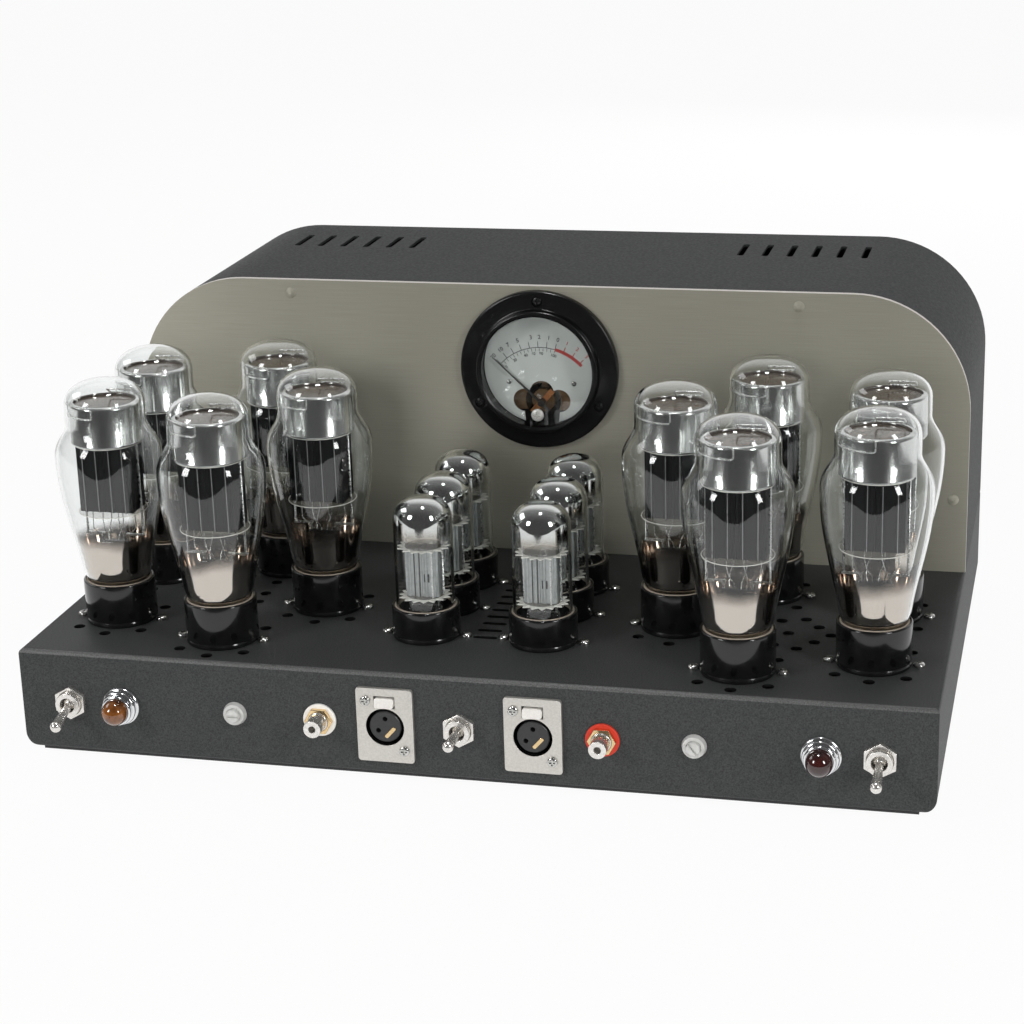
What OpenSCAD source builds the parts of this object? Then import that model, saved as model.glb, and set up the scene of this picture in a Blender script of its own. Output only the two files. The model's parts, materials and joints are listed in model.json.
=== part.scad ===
// Stereo tube power amplifier: a folded steel chassis carries two rings of power tubes and two rows
// of driver tubes, with a rounded transformer hood behind a brushed faceplate that holds the meter.
// X runs to the right, Y to the back and Z up. The origin is on the floor, under the middle.

/* [Fits] */
// Gap between pieces that are free of each other
part_gap = 0.3; // [0.2:0.05:0.4]
// Gap round a shaft, pin or plug in its own hole
slip_gap = 0.1; // [0.05:0.01:0.1]

/* [Chassis] */
// Width of the chassis, the hood and the faceplate
chassis_w = 432; // [425:1:480]
// Depth of the chassis from front panel to rear panel
chassis_d = 314; // [306:1:360]
// Height of the front panel
chassis_h = 50; // [46:1:70]
// Thickness of the chassis sheet
sheet_t = 1.5; // [1:0.1:2]
// Inner radius of the folded edges
fold_inner_r = 0.8; // [0.4:0.1:2]
// Radius of the lower corners of the front panel
low_corner_r = 7.5; // [5:0.5:10]
// Width of the flanges folded inwards under the chassis
chassis_flange = 16; // [14:1:22]
// Height of the row of controls above the lower edge of the front panel
panel_axis_h = 24.8; // [23:0.1:28]
// Thickness of the bottom plate
plate_t = 1.5; // [1:0.1:3]
// Height of the rubber feet
foot_h = 5; // [3:0.5:12]
// Diameter of the rubber feet
foot_d = 20; // [14:1:28]
// Distance of each foot from the two edges beside it
foot_inset = 38; // [34:1:60]
// Head diameter of the cover screws
cover_screw_head = 5.6; // [4.6:0.1:6.4]
// Shank diameter of the cover screws
cover_screw_d = 3; // [2.5:0.1:3.6]

/* [Hood and faceplate] */
// Height of the hood above the deck
hood_h = 141; // [136:1:170]
// Radius of the upper corners of the hood and the faceplate
hood_corner_r = 58; // [40:1:64]
// Thickness of the hood sheet
hood_t = 1.5; // [1:0.1:2]
// Width of the hood's flanges, at its front and on the deck
hood_flange = 14; // [13:0.5:18]
// Distance of the faceplate behind the front panel
faceplate_y = 177; // [176:1:186]
// Thickness of the faceplate
faceplate_t = 3; // [2:0.5:5]
// Distance of the faceplate screws from its edge
faceplate_screw_in = 7; // [6:0.5:7.5]
// Distance of the upper faceplate screws from the middle
faceplate_screw_x = 131.5; // [110:0.5:136]
// Height of the lower faceplate screws above the deck
faceplate_screw_z = 38; // [20:1:60]
// Head diameter of the faceplate screws
faceplate_screw_head = 5.4; // [4.6:0.1:6]
// Number of slots in each vent of the hood
hood_slot_n = 6; // [3:1:7]
// Length of a hood slot
hood_slot_l = 28; // [20:1:40]
// Width of a hood slot
hood_slot_w = 3.5; // [2.5:0.1:5]
// Spacing of the hood slots
hood_slot_pitch = 13; // [10:0.5:14]
// Distance of the first hood slot from the middle
hood_slot_x = 90; // [70:1:92]
// Distance of the slots' middle from the rear
hood_slot_back = 41.5; // [34:0.5:60]

/* [Power tubes] */
// Distance of a ring's centre from the middle
ring_x = 140; // [137:0.5:143]
// Distance of a ring's centre behind the front panel
ring_y = 80; // [79:0.5:84]
// Radius of the ring of tube axes
ring_r = 53; // [50:0.5:54]
// Diameter of a power tube's base
base_d = 34.5; // [33:0.1:36]
// Height of a power tube's base
base_h = 21.5; // [18:0.5:24]
// Wall of the tube bases
base_wall = 1.5; // [1.2:0.1:1.8]
// Thickness of the floor of the tube bases
base_floor = 3; // [2:0.5:5]
// Diameter of the bulb at the top of the base
neck_d = 33; // [32:0.2:34]
// Largest diameter of the bulb
bulb_d = 51; // [47:0.5:52]
// Height of the largest diameter above the deck
belly_h = 83; // [80:0.5:85]
// Diameter of the bulb's upper dome
dome_d = 38.6; // [38:0.2:41]
// Height where the shoulder meets the upper dome
shoulder_h = 100; // [98:0.5:102]
// Height where the dome starts to close
dome_h = 108; // [107:0.5:109]
// Height of a power tube above the deck
tube_h = 120.5; // [118.5:0.5:126]
// Thickness of the glass
glass_t = 1; // [0.8:0.1:1.2]
// Height of the lower mica of a power tube
mica_low_h = 56; // [52:0.5:60]
// Diameter of the power tube micas
mica_d = 33; // [32:0.2:34]
// Thickness of all micas
mica_t = 0.8; // [0.5:0.1:1]
// Height of the lower edge of the silver shield
shield_h = 90.5; // [88:0.5:92]
// Length of the silver shield
shield_l = 20; // [16:0.5:20.5]
// Diameter of the silver shield
shield_d = 34; // [33.6:0.2:35]
// Thickness of the shield's sheet
shield_t = 0.6; // [0.4:0.1:0.8]
// Width of the pair of black plates
plates_w = 27; // [24:0.5:27]
// Depth of the black plates
plates_d = 18; // [14:0.5:20]
// Thickness of the plates' sheet
plates_t = 0.8; // [0.5:0.1:1]
// Radius of the ribs pressed into the plates
plates_rib_r = 0.9; // [0.6:0.1:1.1]

/* [Driver tubes] */
// Number of driver tubes in a row
driver_n = 3; // [2:1:3]
// Distance of a row from the middle
driver_x = 28.5; // [28:0.5:30]
// Distance of the first driver tube behind the front panel
driver_y = 51; // [48:0.5:56]
// Spacing of the driver tubes
driver_pitch = 37; // [36:0.5:38]
// Diameter of a driver tube's base
driver_base_d = 32.4; // [31.4:0.2:33]
// Height of a driver tube's base
driver_base_h = 16; // [14:0.5:18]
// Diameter of a driver tube's glass
driver_glass_d = 28; // [27:0.2:28.6]
// Height of a driver tube above the deck
driver_h = 69; // [66:0.5:74]
// Height of the lower mica of a driver tube
driver_mica_low_h = 20; // [19.5:0.1:22]
// Height of the upper mica of a driver tube
driver_mica_top_h = 44.5; // [40:0.5:47]
// Diameter over the points of the driver micas
driver_mica_d = 25.2; // [23:0.2:25.2]
// Number of points round a driver mica
driver_mica_points = 16; // [8:1:20]
// Width of the pair of grey plates
driver_plates_w = 16; // [14:0.5:17]
// Depth of the grey plates
driver_plates_d = 10; // [8:0.5:12]

/* [Sockets and deck vents] */
// Diameter of the socket holes in the deck
socket_hole_d = 27; // [26:0.2:28]
// Depth of the sockets under the deck
socket_l = 14; // [13:0.5:18]
// Diameter of the circle of tube pins
pin_circle_d = 17.45; // [17:0.05:18]
// Diameter of a tube pin
pin_d = 2.4; // [2.2:0.05:2.6]
// Length of a tube pin
pin_l = 11; // [9:0.5:12]
// Diameter of the locating post under a tube base
key_d = 7.8; // [7:0.1:8.2]
// Head diameter of the socket screws
socket_screw_head = 5.6; // [4.6:0.1:5.8]
// Shank diameter of the socket screws
socket_screw_d = 3; // [2.5:0.1:3.2]
// Height of the socket screws' heads
socket_screw_h = 2; // [1.6:0.1:2.4]
// Length of the socket screws below the deck's sheet
socket_screw_l = 6; // [5:0.5:7]
// Diameter of the vent holes in the deck
vent_d = 5.5; // [4:0.1:5.6]
// Radius of the vent holes round each power tube
vent_r = 22.5; // [22:0.1:23]
// Radius of the vents towards the tubes in the middle of a ring
ring_vent_near = 16.5; // [16:0.1:17]
// Radius of the vents between the tubes in the middle of a ring
ring_vent_far = 20; // [19:0.1:21]
// Length of the slots between the driver tubes
deck_slot_l = 12; // [8:0.5:14]
// Width of the slots between the driver tubes
deck_slot_w = 3; // [2:0.1:4]
// Spacing of the slots between the driver tubes
deck_slot_pitch = 9.2; // [8:0.1:10]
// Number of slots between the driver tubes
deck_slot_n = 9; // [5:1:10]

/* [Meter] */
// Height of the meter's centre above the deck
meter_h = 98; // [90:0.5:98]
// Diameter of the meter's flange
meter_d = 82; // [79:0.5:84]
// Thickness of the meter's flange
meter_flange_t = 4; // [3.5:0.1:5]
// Diameter of the raised rim
meter_rim_d = 63.4; // [62.8:0.2:64]
// Height of the raised rim in front of the faceplate
meter_rim_h = 9; // [8:0.5:12]
// Diameter of the window in the rim
meter_window_d = 57.6; // [57:0.2:58.2]
// Wall of the meter's barrel
meter_wall = 1.6; // [1.4:0.1:1.8]
// Depth of the meter behind the faceplate
meter_depth = 36; // [35:0.5:45]
// Thickness of the meter's glass
meter_glass_t = 2; // [1.5:0.1:2.5]
// Depth of the dial's face behind the faceplate
dial_depth = 3; // [2.5:0.1:4]
// Thickness of the dial
dial_t = 0.8; // [0.5:0.1:1]
// Radius of the meter's screws
meter_screw_r = 35.8; // [35.6:0.1:36.4]
// Head diameter of the meter's screws
meter_screw_head = 5; // [4.4:0.1:5.2]
// Distance of the needle's pivot below the centre
pivot_drop = 18.3; // [17.5:0.1:18.6]
// Length of the needle from its pivot
needle_l = 33; // [28:0.5:34]
// Angle of the needle's rest to the left of upright
needle_rest = 47; // [40:1:48]
// Distance of the zero screw below the needle's pivot
zero_drop = 4; // [3.8:0.1:5]
// Head diameter of the zero screw
zero_head = 6.6; // [5.6:0.1:6.8]

/* [Toggle switches] */
// Distance of the outer switches from the panel's ends
switch_edge = 25; // [24:0.5:27]
// Diameter of the switch bushings
bushing_d = 11.9; // [11.4:0.1:12]
// Length of a bushing in front of the panel
bushing_out = 5.5; // [5.2:0.1:7]
// Width of the switch nuts across their flats
switch_nut_af = 14.3; // [14:0.1:15]
// Thickness of the switch nuts
switch_nut_t = 2.6; // [2:0.1:3.2]
// Width of a switch body
switch_w = 17; // [14:0.5:18]
// Height of a switch body
switch_h = 28; // [22:0.5:30]
// Depth of a switch body behind the panel
switch_depth = 26; // [20:0.5:30]
// Distance of the lever's pivot in front of the panel
lever_pivot_out = 1; // [0.5:0.1:1.5]
// Length of a lever from its pivot to its tip's centre
lever_l = 18.8; // [16:0.1:21]
// Diameter of a lever's tip
lever_tip_d = 5.4; // [4.6:0.1:6]
// Diameter of a lever's ball in the bushing
lever_ball_d = 6.6; // [6.2:0.1:7]
// Throw of a lever to each side of straight out
lever_throw = 15; // [10:1:16]

/* [Indicator lamps] */
// Distance of the lamps from the panel's ends
lamp_edge = 50.8; // [50:0.1:52.5]
// Diameter of a lamp's flange
lamp_d = 18.7; // [17:0.1:20]
// Diameter of a lens
lens_d = 12.3; // [11:0.1:12.6]
// Distance of a lens top in front of the panel
lens_out = 15.5; // [13:0.5:18]
// Height of the bezel in front of the panel
bezel_h = 8; // [7:0.5:9]
// Depth of a lamp holder behind the panel
lamp_depth = 24; // [18:1:30]

/* [Slotted adjusters] */
// Distance of the adjusters from the middle
adjuster_x = 108.5; // [106:0.5:112]
// Diameter of an adjuster's collar
adjuster_d = 11.5; // [10.5:0.1:13]
// Height of the collar in front of the panel
adjuster_collar_h = 2.6; // [2:0.1:4]
// Diameter of the slotted shaft
adjuster_shaft_d = 6.6; // [5.6:0.1:7]
// Distance of the shaft's end in front of the panel
adjuster_out = 4.8; // [4.2:0.1:7]
// Width of the screwdriver slot
adjuster_slot = 1; // [0.6:0.1:1.2]
// Slot angle of the right adjuster
adjuster_right_turn = -55; // [-90:5:90]

/* [Phono jacks] */
// Distance of the phono jacks from the middle
phono_x = 66.8; // [65:0.1:70]
// Diameter of the coloured washers
phono_washer_d = 15.9; // [14:0.1:17]
// Thickness of the coloured washers
phono_washer_t = 1.2; // [1:0.1:2]
// Width of the phono nuts across their flats
phono_nut_af = 11.6; // [11:0.1:12.6]
// Thickness of the phono nuts
phono_nut_t = 2.4; // [2:0.1:3]
// Diameter of a jack's threaded part
phono_thread_d = 9.2; // [9:0.1:9.6]
// Diameter of a jack's collar
phono_d = 8.3; // [8:0.05:8.6]
// Distance of the collar's end in front of the panel
phono_out = 12.6; // [11:0.1:15]
// Diameter of the hole for the plug's pin
phono_hole_d = 3.3; // [3.2:0.05:3.6]
// Depth of the hole for the plug's pin
phono_hole_l = 11; // [9:0.5:13]

/* [Balanced sockets] */
// Distance of the balanced sockets from the middle
balanced_x = 34.9; // [33:0.1:37]
// Width of a socket's flange
balanced_w = 27; // [26.4:0.1:30]
// Height of a socket's flange
balanced_h = 36.3; // [35.6:0.1:40]
// Thickness of a socket's flange
balanced_t = 2.2; // [1.8:0.1:3]
// Drop of the round opening below the flange's middle
balanced_drop = 0.8; // [0:0.1:1.2]
// Diameter of the round opening
balanced_hole_d = 18.2; // [17.6:0.1:18.6]
// Wall of the socket's barrel
balanced_wall = 1.6; // [1.2:0.1:2]
// Depth of the socket's barrel behind the panel
balanced_depth = 22; // [18:0.5:26]
// Diameter of the black insert
insert_d = 13.7; // [13:0.1:14]
// Depth of the insert's face behind the flange's face
insert_recess = 2.5; // [1:0.1:4]
// Radius of the circle of contacts
contact_r = 3.9; // [3.6:0.1:4.2]
// Outer diameter of a contact
contact_d = 3.2; // [2.8:0.1:3.4]
// Bore of a contact
contact_bore = 2.4; // [2:0.1:2.5]
// Width of the latch tab
latch_w = 9.4; // [7:0.1:10]
// Height of the latch tab
latch_h = 4.6; // [3.6:0.1:4.8]
// Distance of the tab's face in front of the flange
latch_out = 1.9; // [1.7:0.1:3]
// Distance of the flange screws from the flange's edges
balanced_screw_in = 4.6; // [3.8:0.1:5]
// Head diameter of the flange screws
balanced_screw_head = 5; // [4.4:0.1:5.4]
// Height of the flange screws' heads
balanced_screw_h = 1.5; // [1.2:0.1:1.8]
// Length of the flange screws behind the panel's sheet
balanced_screw_l = 5; // [4:0.5:7]

/* [Rear panel] */
// Distance of the middle of each pair of speaker posts from the middle
post_x = 120; // [60:1:160]
// Spacing of a pair of speaker posts
post_span = 19; // [18:0.1:24]
// Length of a speaker post behind the rear panel
post_l = 22; // [19:0.5:28]
// Diameter of the posts' caps
post_cap_d = 13; // [11:0.1:16]
// Length of the posts' caps
post_cap_l = 14; // [10:0.5:16]
// Diameter of the posts' studs
post_stud_d = 7; // [6.4:0.1:8]
// Diameter of the plug bores in the posts
post_bore_d = 4; // [4:0.05:4.1]
// Depth of the plug bores in the posts
post_bore_l = 15; // [12:0.5:17]
// Width of the mains inlet's flange
inlet_w = 50; // [48:0.5:56]
// Height of the mains inlet's flange
inlet_h = 34; // [32:0.5:36]
// Thickness of the mains inlet's flange
inlet_t = 3; // [2:0.5:4]
// Width of the plug recess
inlet_recess_w = 24.6; // [24:0.1:26]
// Height of the plug recess
inlet_recess_h = 16.6; // [16.4:0.1:17]
// Depth of the plug recess
inlet_recess_l = 17; // [15:0.5:20]
// Width of the fuse drawer
drawer_w = 18; // [14:0.5:22]
// Height of the fuse drawer
drawer_h = 6; // [5:0.1:6.4]
// Depth of the fuse drawer
drawer_l = 26; // [20:0.5:30]

/* [Inside] */
// Distance of the transformers from the middle
transformer_x = 122; // [110:1:130]
// Width of a transformer's core
core_w = 96; // [84:1:100]
// Height of a transformer's core
core_h = 80; // [70:1:90]
// Stack of a transformer's core
core_stack = 46; // [36:1:50]
// Distance of the coils in front of the hood's rear wall
transformer_back = 20; // [15:1:24]
// Distance that the coil stands out of the core
coil_out = 16; // [10:0.5:18]
// Diameter of the filter capacitors
capacitor_d = 35; // [30:1:36]
// Height of the filter capacitors
capacitor_h = 65; // [40:1:70]
// Distance of the circuit board's middle behind the front panel
board_back = 200; // [195:1:205]
// Length of the circuit board under the deck
board_l = 220; // [160:5:240]
// Width of the circuit board
board_w = 90; // [60:1:94]
// Height of the circuit board above the bottom plate
board_h = 10; // [6:0.5:12]
// Thickness of the circuit board
board_t = 1.6; // [1:0.1:2]
// Diameter of the circuit board's pillars
pillar_d = 6; // [5:0.5:7]
// Distance of the pillars from the circuit board's edges
pillar_in = 6; // [5:0.5:8]
// Width of the rectifier on the circuit board
rectifier_w = 28; // [24:1:30]
// Height of the rectifier
rectifier_h = 9; // [7:0.5:10]
// Distance of the small cans from the circuit board's middle
can_x = 50; // [40:1:60]
// Diameter of the small cans
can_d = 16; // [12:0.5:18]
// Height of the small cans
can_h = 22; // [16:0.5:24]

/* [Hidden] */
$fn = 64;

// Heights, and the places of the panels along Y
fold_r = sheet_t + fold_inner_r;
base_z = foot_h + plate_t;
deck_z = base_z + chassis_h;
panel_z = base_z + panel_axis_h;
front_reach = lever_pivot_out + lever_l + lever_tip_d / 2;
front_y = (front_reach - post_l - chassis_d) / 2;
rear_y = front_y + chassis_d;
plate_y = front_y + faceplate_y;
hood_y = plate_y + faceplate_t;
hood_d = rear_y - hood_y;
meter_z = deck_z + meter_h;

// Tube axes, two rings of power tubes with one tube pointing to the middle, and two driver rows
ring_n = 5;
power_sites = [
    for (side = [-1, 1], k = [0 : ring_n - 1])
        let (a = (side > 0 ? 180 : 0) + side * k * 360 / ring_n)
            [side * ring_x + ring_r * cos(a), front_y + ring_y + ring_r * sin(a)]
];
driver_sites = [
    for (side = [-1, 1], k = [0 : driver_n - 1])
        [side * driver_x, front_y + driver_y + k * driver_pitch]
];
tube_sites = concat(power_sites, driver_sites);

// Sizes that follow from the fits
cut = 0.5;
neck_in_base_r = base_d / 2 - base_wall - slip_gap;
mica_top_h = shield_h - mica_t;
plates_h = mica_top_h - mica_low_h - mica_t;
rod_r = 0.6;
rod_x = plates_w / 2 + rod_r + part_gap;
driver_rod_x = driver_plates_w / 2 + rod_r + part_gap;
key_rib = 1.6;
press_w = 16;
press_d = 5;
press_h = 40;
driver_press_h = 15;
cover_hole_r = cover_screw_d / 2 + slip_gap;
socket_hole_r = socket_screw_d / 2 + slip_gap;
power_screw_x = (base_d + socket_screw_head) / 2 + part_gap;
driver_screw_x = (driver_base_d + socket_screw_head) / 2 + part_gap;
insert_face_z = balanced_t - insert_recess;
insert_disc_t = 3;
balanced_screw_d = 2.8;
balanced_screw_r = balanced_screw_d / 2 + slip_gap;
meter_screw_d = 2.9;
meter_screw_well = 1.6;
meter_screw_hole_r = meter_screw_d / 2 + slip_gap;
lamp_barrel_r = lens_d / 2 + 1.2;
lens_seat_z = bezel_h - 5;
adjuster_barrel_r = adjuster_shaft_d / 2 + slip_gap + 1.2;
inlet_body_w = inlet_w - 10;
inlet_body_h = inlet_h - 6;
plate_edge = low_corner_r + part_gap;
bolt_inset = chassis_flange - cover_screw_head / 2 - part_gap;
dial_z = -dial_depth;
glass_z = meter_rim_h - 1.4 - meter_glass_t;
meter_bore_r = meter_rim_d / 2 - meter_wall;
core_front = dial_z - dial_t - 2.6;
core_r = 6;
core_l = 15;
coil_wire = 1.8;
coil_r = core_r + part_gap + coil_wire / 2;
pole_r = coil_r + coil_wire + part_gap;
spindle_r = 0.6;
zero_y = -pivot_drop - zero_drop;
zero_stem_r = zero_head / 2 - 1.4;
inlet_x = 0;
inlet_z = panel_z;
recess_y = -4.2;
drawer_y = recess_y + inlet_recess_h / 2 + drawer_h / 2 + 1.5;
transformer_y = rear_y - hood_t - part_gap - coil_out - core_stack / 2 - transformer_back;
board_y = front_y + board_back;
switch_x = chassis_w / 2 - switch_edge;
lamp_x = chassis_w / 2 - lamp_edge;

// Frames: on a panel X is to the right as seen from the front, Y up and Z out of the panel
module on_front(x) {
    translate([x, front_y, panel_z]) rotate([90, 0, 0]) children();
}

module on_rear(x, z = panel_z) {
    translate([x, rear_y, z]) rotate([90, 0, 180]) children();
}

module on_meter() {
    translate([0, plate_y, meter_z]) rotate([90, 0, 0]) children();
}

module down(l) {
    translate([0, 0, -l]) children();
}

module on_sites(sites) {
    for (p = sites) translate([p[0], p[1], deck_z]) children();
}

module socket_screw_sites() {
    for (side = [-1, 1]) {
        on_sites(power_sites) translate([side * power_screw_x, 0, 0]) children();
        on_sites(driver_sites) translate([side * driver_screw_x, 0, 0]) children();
    }
}

module both_sides(x) {
    for (side = [-1, 1]) on_front(side * x) children();
}

// Extrudes an outline drawn in X and Z along Y, from y to y + depth
module along_y(y, z, depth) {
    translate([0, y + depth, z]) rotate([90, 0, 0]) linear_extrude(depth) children();
}

// Rectangle with rounded lower and upper corners, standing on the X axis
module panel_outline(w, h, low_r, top_r) {
    translate([-w / 2, low_r]) square([w, h - low_r - top_r]);
    translate([-w / 2 + low_r, 0]) square([w - 2 * low_r, h / 2]);
    translate([-w / 2 + top_r, h / 2]) square([w - 2 * top_r, h / 2]);
    for (side = [-1, 1]) {
        translate([side * (w / 2 - low_r), low_r]) circle(low_r);
        translate([side * (w / 2 - top_r), h - top_r]) circle(top_r);
    }
}

// Straight sides under two round upper corners: the outline of the hood and the faceplate
module arch(w, h, r) {
    translate([-w / 2, 0]) square([w, h - r]);
    translate([-w / 2 + r, 0]) square([w - 2 * r, h]);
    for (side = [-1, 1]) translate([side * (w / 2 - r), h - r]) circle(r);
}

module slot(l, w) {
    square([l - w, w], center = true);
    for (side = [-1, 1]) translate([side * (l - w) / 2, 0]) circle(d = w);
}

module bar(l, w, t) {
    translate([-l / 2, -w / 2, 0]) cube([l, w, t]);
}

// Pan-head screw with its head standing on z = 0
module pan_screw(head_d, head_h, shank_d, shank_l) {
    crown_r = head_d;
    intersection() {
        cylinder(d = head_d, h = head_h);
        translate([0, 0, head_h - crown_r]) sphere(crown_r);
    }
    translate([0, 0, -shank_l]) cylinder(d = shank_d, h = shank_l + head_h / 4);
}

module hex_nut(af, t, bore_r) {
    difference() {
        cylinder(d = af / cos(30), h = t, $fn = 6);
        translate([0, 0, -cut]) cylinder(r = bore_r, h = t + 2 * cut);
    }
}

// Chassis shell: one folded sheet, open below between its flanges
module chassis_block(inset) {
    w = chassis_w - 2 * inset;
    d = chassis_d - 2 * inset;
    h = chassis_h - 2 * inset;
    intersection() {
        along_y(front_y + inset, base_z + inset, d)
            panel_outline(w, h, low_corner_r - inset, fold_r - inset);
        translate([-w / 2, front_y + chassis_d / 2, base_z + inset]) rotate([90, 0, 90]) linear_extrude(w)
            panel_outline(d, h, fold_r - inset, fold_r - inset);
    }
}

module deck_holes() {
    depth = sheet_t + 2 * cut;
    translate([0, 0, -sheet_t - cut]) {
        on_sites(tube_sites) cylinder(d = socket_hole_d, h = depth);
        socket_screw_sites() cylinder(r = socket_hole_r, h = depth);
        on_sites(power_sites)
            for (side = [-1, 1], a = [45, 90, 135])
                rotate(side * a) translate([vent_r, 0, 0]) cylinder(d = vent_d, h = depth);
        for (side = [-1, 1]) translate([side * ring_x, front_y + ring_y, deck_z]) {
            cylinder(d = vent_d, h = depth);
            for (k = [0 : ring_n - 1]) rotate((side > 0 ? 180 : 0) + k * 360 / ring_n) {
                translate([ring_vent_near, 0, 0]) cylinder(d = vent_d, h = depth);
                rotate(180 / ring_n) translate([ring_vent_far, 0, 0]) cylinder(d = vent_d, h = depth);
            }
        }
        for (k = [0 : deck_slot_n - 1])
            translate([0, front_y + driver_y + k * deck_slot_pitch, deck_z])
                linear_extrude(depth) slot(deck_slot_l, deck_slot_w);
        hood_bolt_sites() cylinder(r = cover_hole_r, h = depth);
    }
}

module front_holes() {
    depth = sheet_t + 2 * cut;
    translate([0, -cut, 0]) {
        for (x = [-switch_x, 0, switch_x])
            on_front(x) down(depth) cylinder(r = bushing_d / 2 + slip_gap, h = depth);
        both_sides(lamp_x) down(depth) cylinder(r = lamp_barrel_r + slip_gap, h = depth);
        both_sides(adjuster_x) down(depth) cylinder(r = adjuster_barrel_r + slip_gap, h = depth);
        both_sides(phono_x) down(depth) cylinder(r = phono_thread_d / 2 + 1 + slip_gap, h = depth);
        both_sides(balanced_x) down(depth) {
            translate([0, -balanced_drop, 0])
                cylinder(r = balanced_hole_d / 2 + balanced_wall + slip_gap, h = depth);
            latch_block(part_gap, depth);
            balanced_screw_sites() cylinder(r = balanced_screw_r, h = depth);
        }
    }
}

module rear_holes() {
    depth = sheet_t + 2 * cut;
    translate([0, cut, 0]) {
        post_sites() down(depth) cylinder(r = post_stud_d / 2 + slip_gap, h = depth);
        on_rear(inlet_x, inlet_z) down(depth)
            bar(inlet_body_w + 2 * slip_gap, inlet_body_h + 2 * slip_gap, depth);
    }
}

// The rest of the flange under the chassis takes the bottom plate's screws
module plate_bolt_sites() {
    for (sx = [-1, 1], y = [front_y + bolt_inset, front_y + chassis_d / 2, rear_y - bolt_inset])
        translate([sx * (chassis_w / 2 - bolt_inset), y, 0]) children();
}

// The hood's flanges are screwed to the deck from below
module hood_bolt_sites() {
    for (sx = [-1, 1], y = [hood_y + hood_d / 4, rear_y - hood_d / 4])
        translate([sx * (chassis_w / 2 - hood_flange / 2), y, deck_z]) children();
}

module foot_sites() {
    for (sx = [-1, 1], y = [front_y + foot_inset, rear_y - foot_inset])
        translate([sx * (chassis_w / 2 - foot_inset), y, 0]) children();
}

module chassis() {
    opening_w = chassis_w - 2 * chassis_flange;
    opening_d = chassis_d - 2 * chassis_flange;
    color("#454746") difference() {
        chassis_block(0);
        chassis_block(sheet_t);
        translate([-opening_w / 2, front_y + chassis_flange, base_z - cut])
            cube([opening_w, opening_d, sheet_t + 2 * cut]);
        deck_holes();
        front_holes();
        rear_holes();
        translate([0, 0, base_z - cut]) plate_bolt_sites() cylinder(r = cover_hole_r, h = sheet_t + 2 * cut);
    }
}

module bottom_plate() {
    w = chassis_w - 2 * plate_edge;
    d = chassis_d - 2 * fold_r;
    color("#151515") difference() {
        translate([-w / 2, front_y + fold_r, foot_h]) cube([w, d, plate_t]);
        translate([0, 0, foot_h - cut]) {
            plate_bolt_sites() cylinder(r = cover_hole_r, h = plate_t + 2 * cut);
            foot_sites() cylinder(r = cover_hole_r, h = plate_t + 2 * cut);
        }
    }
}

// Each foot has a well below that hides its screw
module rubber_feet() {
    well_r = cover_screw_head / 2 + part_gap;
    color("#101010") foot_sites() difference() {
        cylinder(d1 = foot_d - 2, d2 = foot_d, h = foot_h);
        translate([0, 0, -cut]) cylinder(r = well_r, h = foot_h * 0.5 + cut);
        cylinder(r = cover_hole_r, h = foot_h + cut);
    }
}

module cover_screws() {
    head_h = 1.9;
    color("#9a9a98") {
        translate([0, 0, foot_h]) plate_bolt_sites() rotate([180, 0, 0])
            pan_screw(cover_screw_head, head_h, cover_screw_d, plate_t + sheet_t + 4);
        translate([0, 0, foot_h * 0.5]) foot_sites() rotate([180, 0, 0])
            pan_screw(cover_screw_head, head_h, cover_screw_d, foot_h * 0.5 + plate_t + 3);
        translate([0, 0, -sheet_t]) hood_bolt_sites() rotate([180, 0, 0])
            pan_screw(cover_screw_head, head_h, cover_screw_d, sheet_t + hood_t + 4);
    }
}

// Hood: a sheet bent over both upper corners, a back wall, and flanges in front and on the deck
module hood() {
    inner_w = chassis_w - 2 * hood_t;
    floor_w = chassis_w - 2 * hood_flange;
    slot_y = rear_y - hood_slot_back;
    color("#4a4c4c") difference() {
        along_y(hood_y, deck_z, hood_d) arch(chassis_w, hood_h, hood_corner_r);
        along_y(hood_y + hood_t, deck_z + hood_t, hood_d - 2 * hood_t)
            arch(inner_w, hood_h - 2 * hood_t, hood_corner_r - hood_t);
        along_y(hood_y - cut, deck_z + hood_t, hood_t + 2 * cut)
            arch(floor_w, hood_h - hood_t - hood_flange, hood_corner_r - hood_flange);
        translate([-floor_w / 2, hood_y - cut, deck_z - cut])
            cube([floor_w, hood_d - hood_flange + cut, hood_t + 2 * cut]);
        for (side = [-1, 1], k = [0 : hood_slot_n - 1])
            translate([side * (hood_slot_x + k * hood_slot_pitch), slot_y, deck_z + hood_h - hood_t - cut])
                rotate(90) linear_extrude(hood_t + 2 * cut) slot(hood_slot_l, hood_slot_w);
        hood_bolt_sites() translate([0, 0, -cut]) cylinder(r = cover_hole_r, h = hood_t + 2 * cut);
        translate([0, hood_t + faceplate_t + cut, 0]) {
            faceplate_screw_sites() cylinder(r = cover_hole_r, h = hood_t + 2 * cut);
            on_meter() cylinder(r = meter_rim_d / 2 + part_gap, h = hood_t + 2 * cut);
            on_meter() meter_screw_sites() cylinder(r = meter_screw_hole_r, h = hood_t + 2 * cut);
        }
    }
}

module faceplate_screw_sites() {
    translate([0, plate_y, deck_z]) rotate([90, 0, 0]) for (side = [-1, 1]) {
        translate([side * faceplate_screw_x, hood_h - faceplate_screw_in, 0]) children();
        translate([side * (chassis_w / 2 - faceplate_screw_in), faceplate_screw_z, 0]) children();
    }
}

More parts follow.
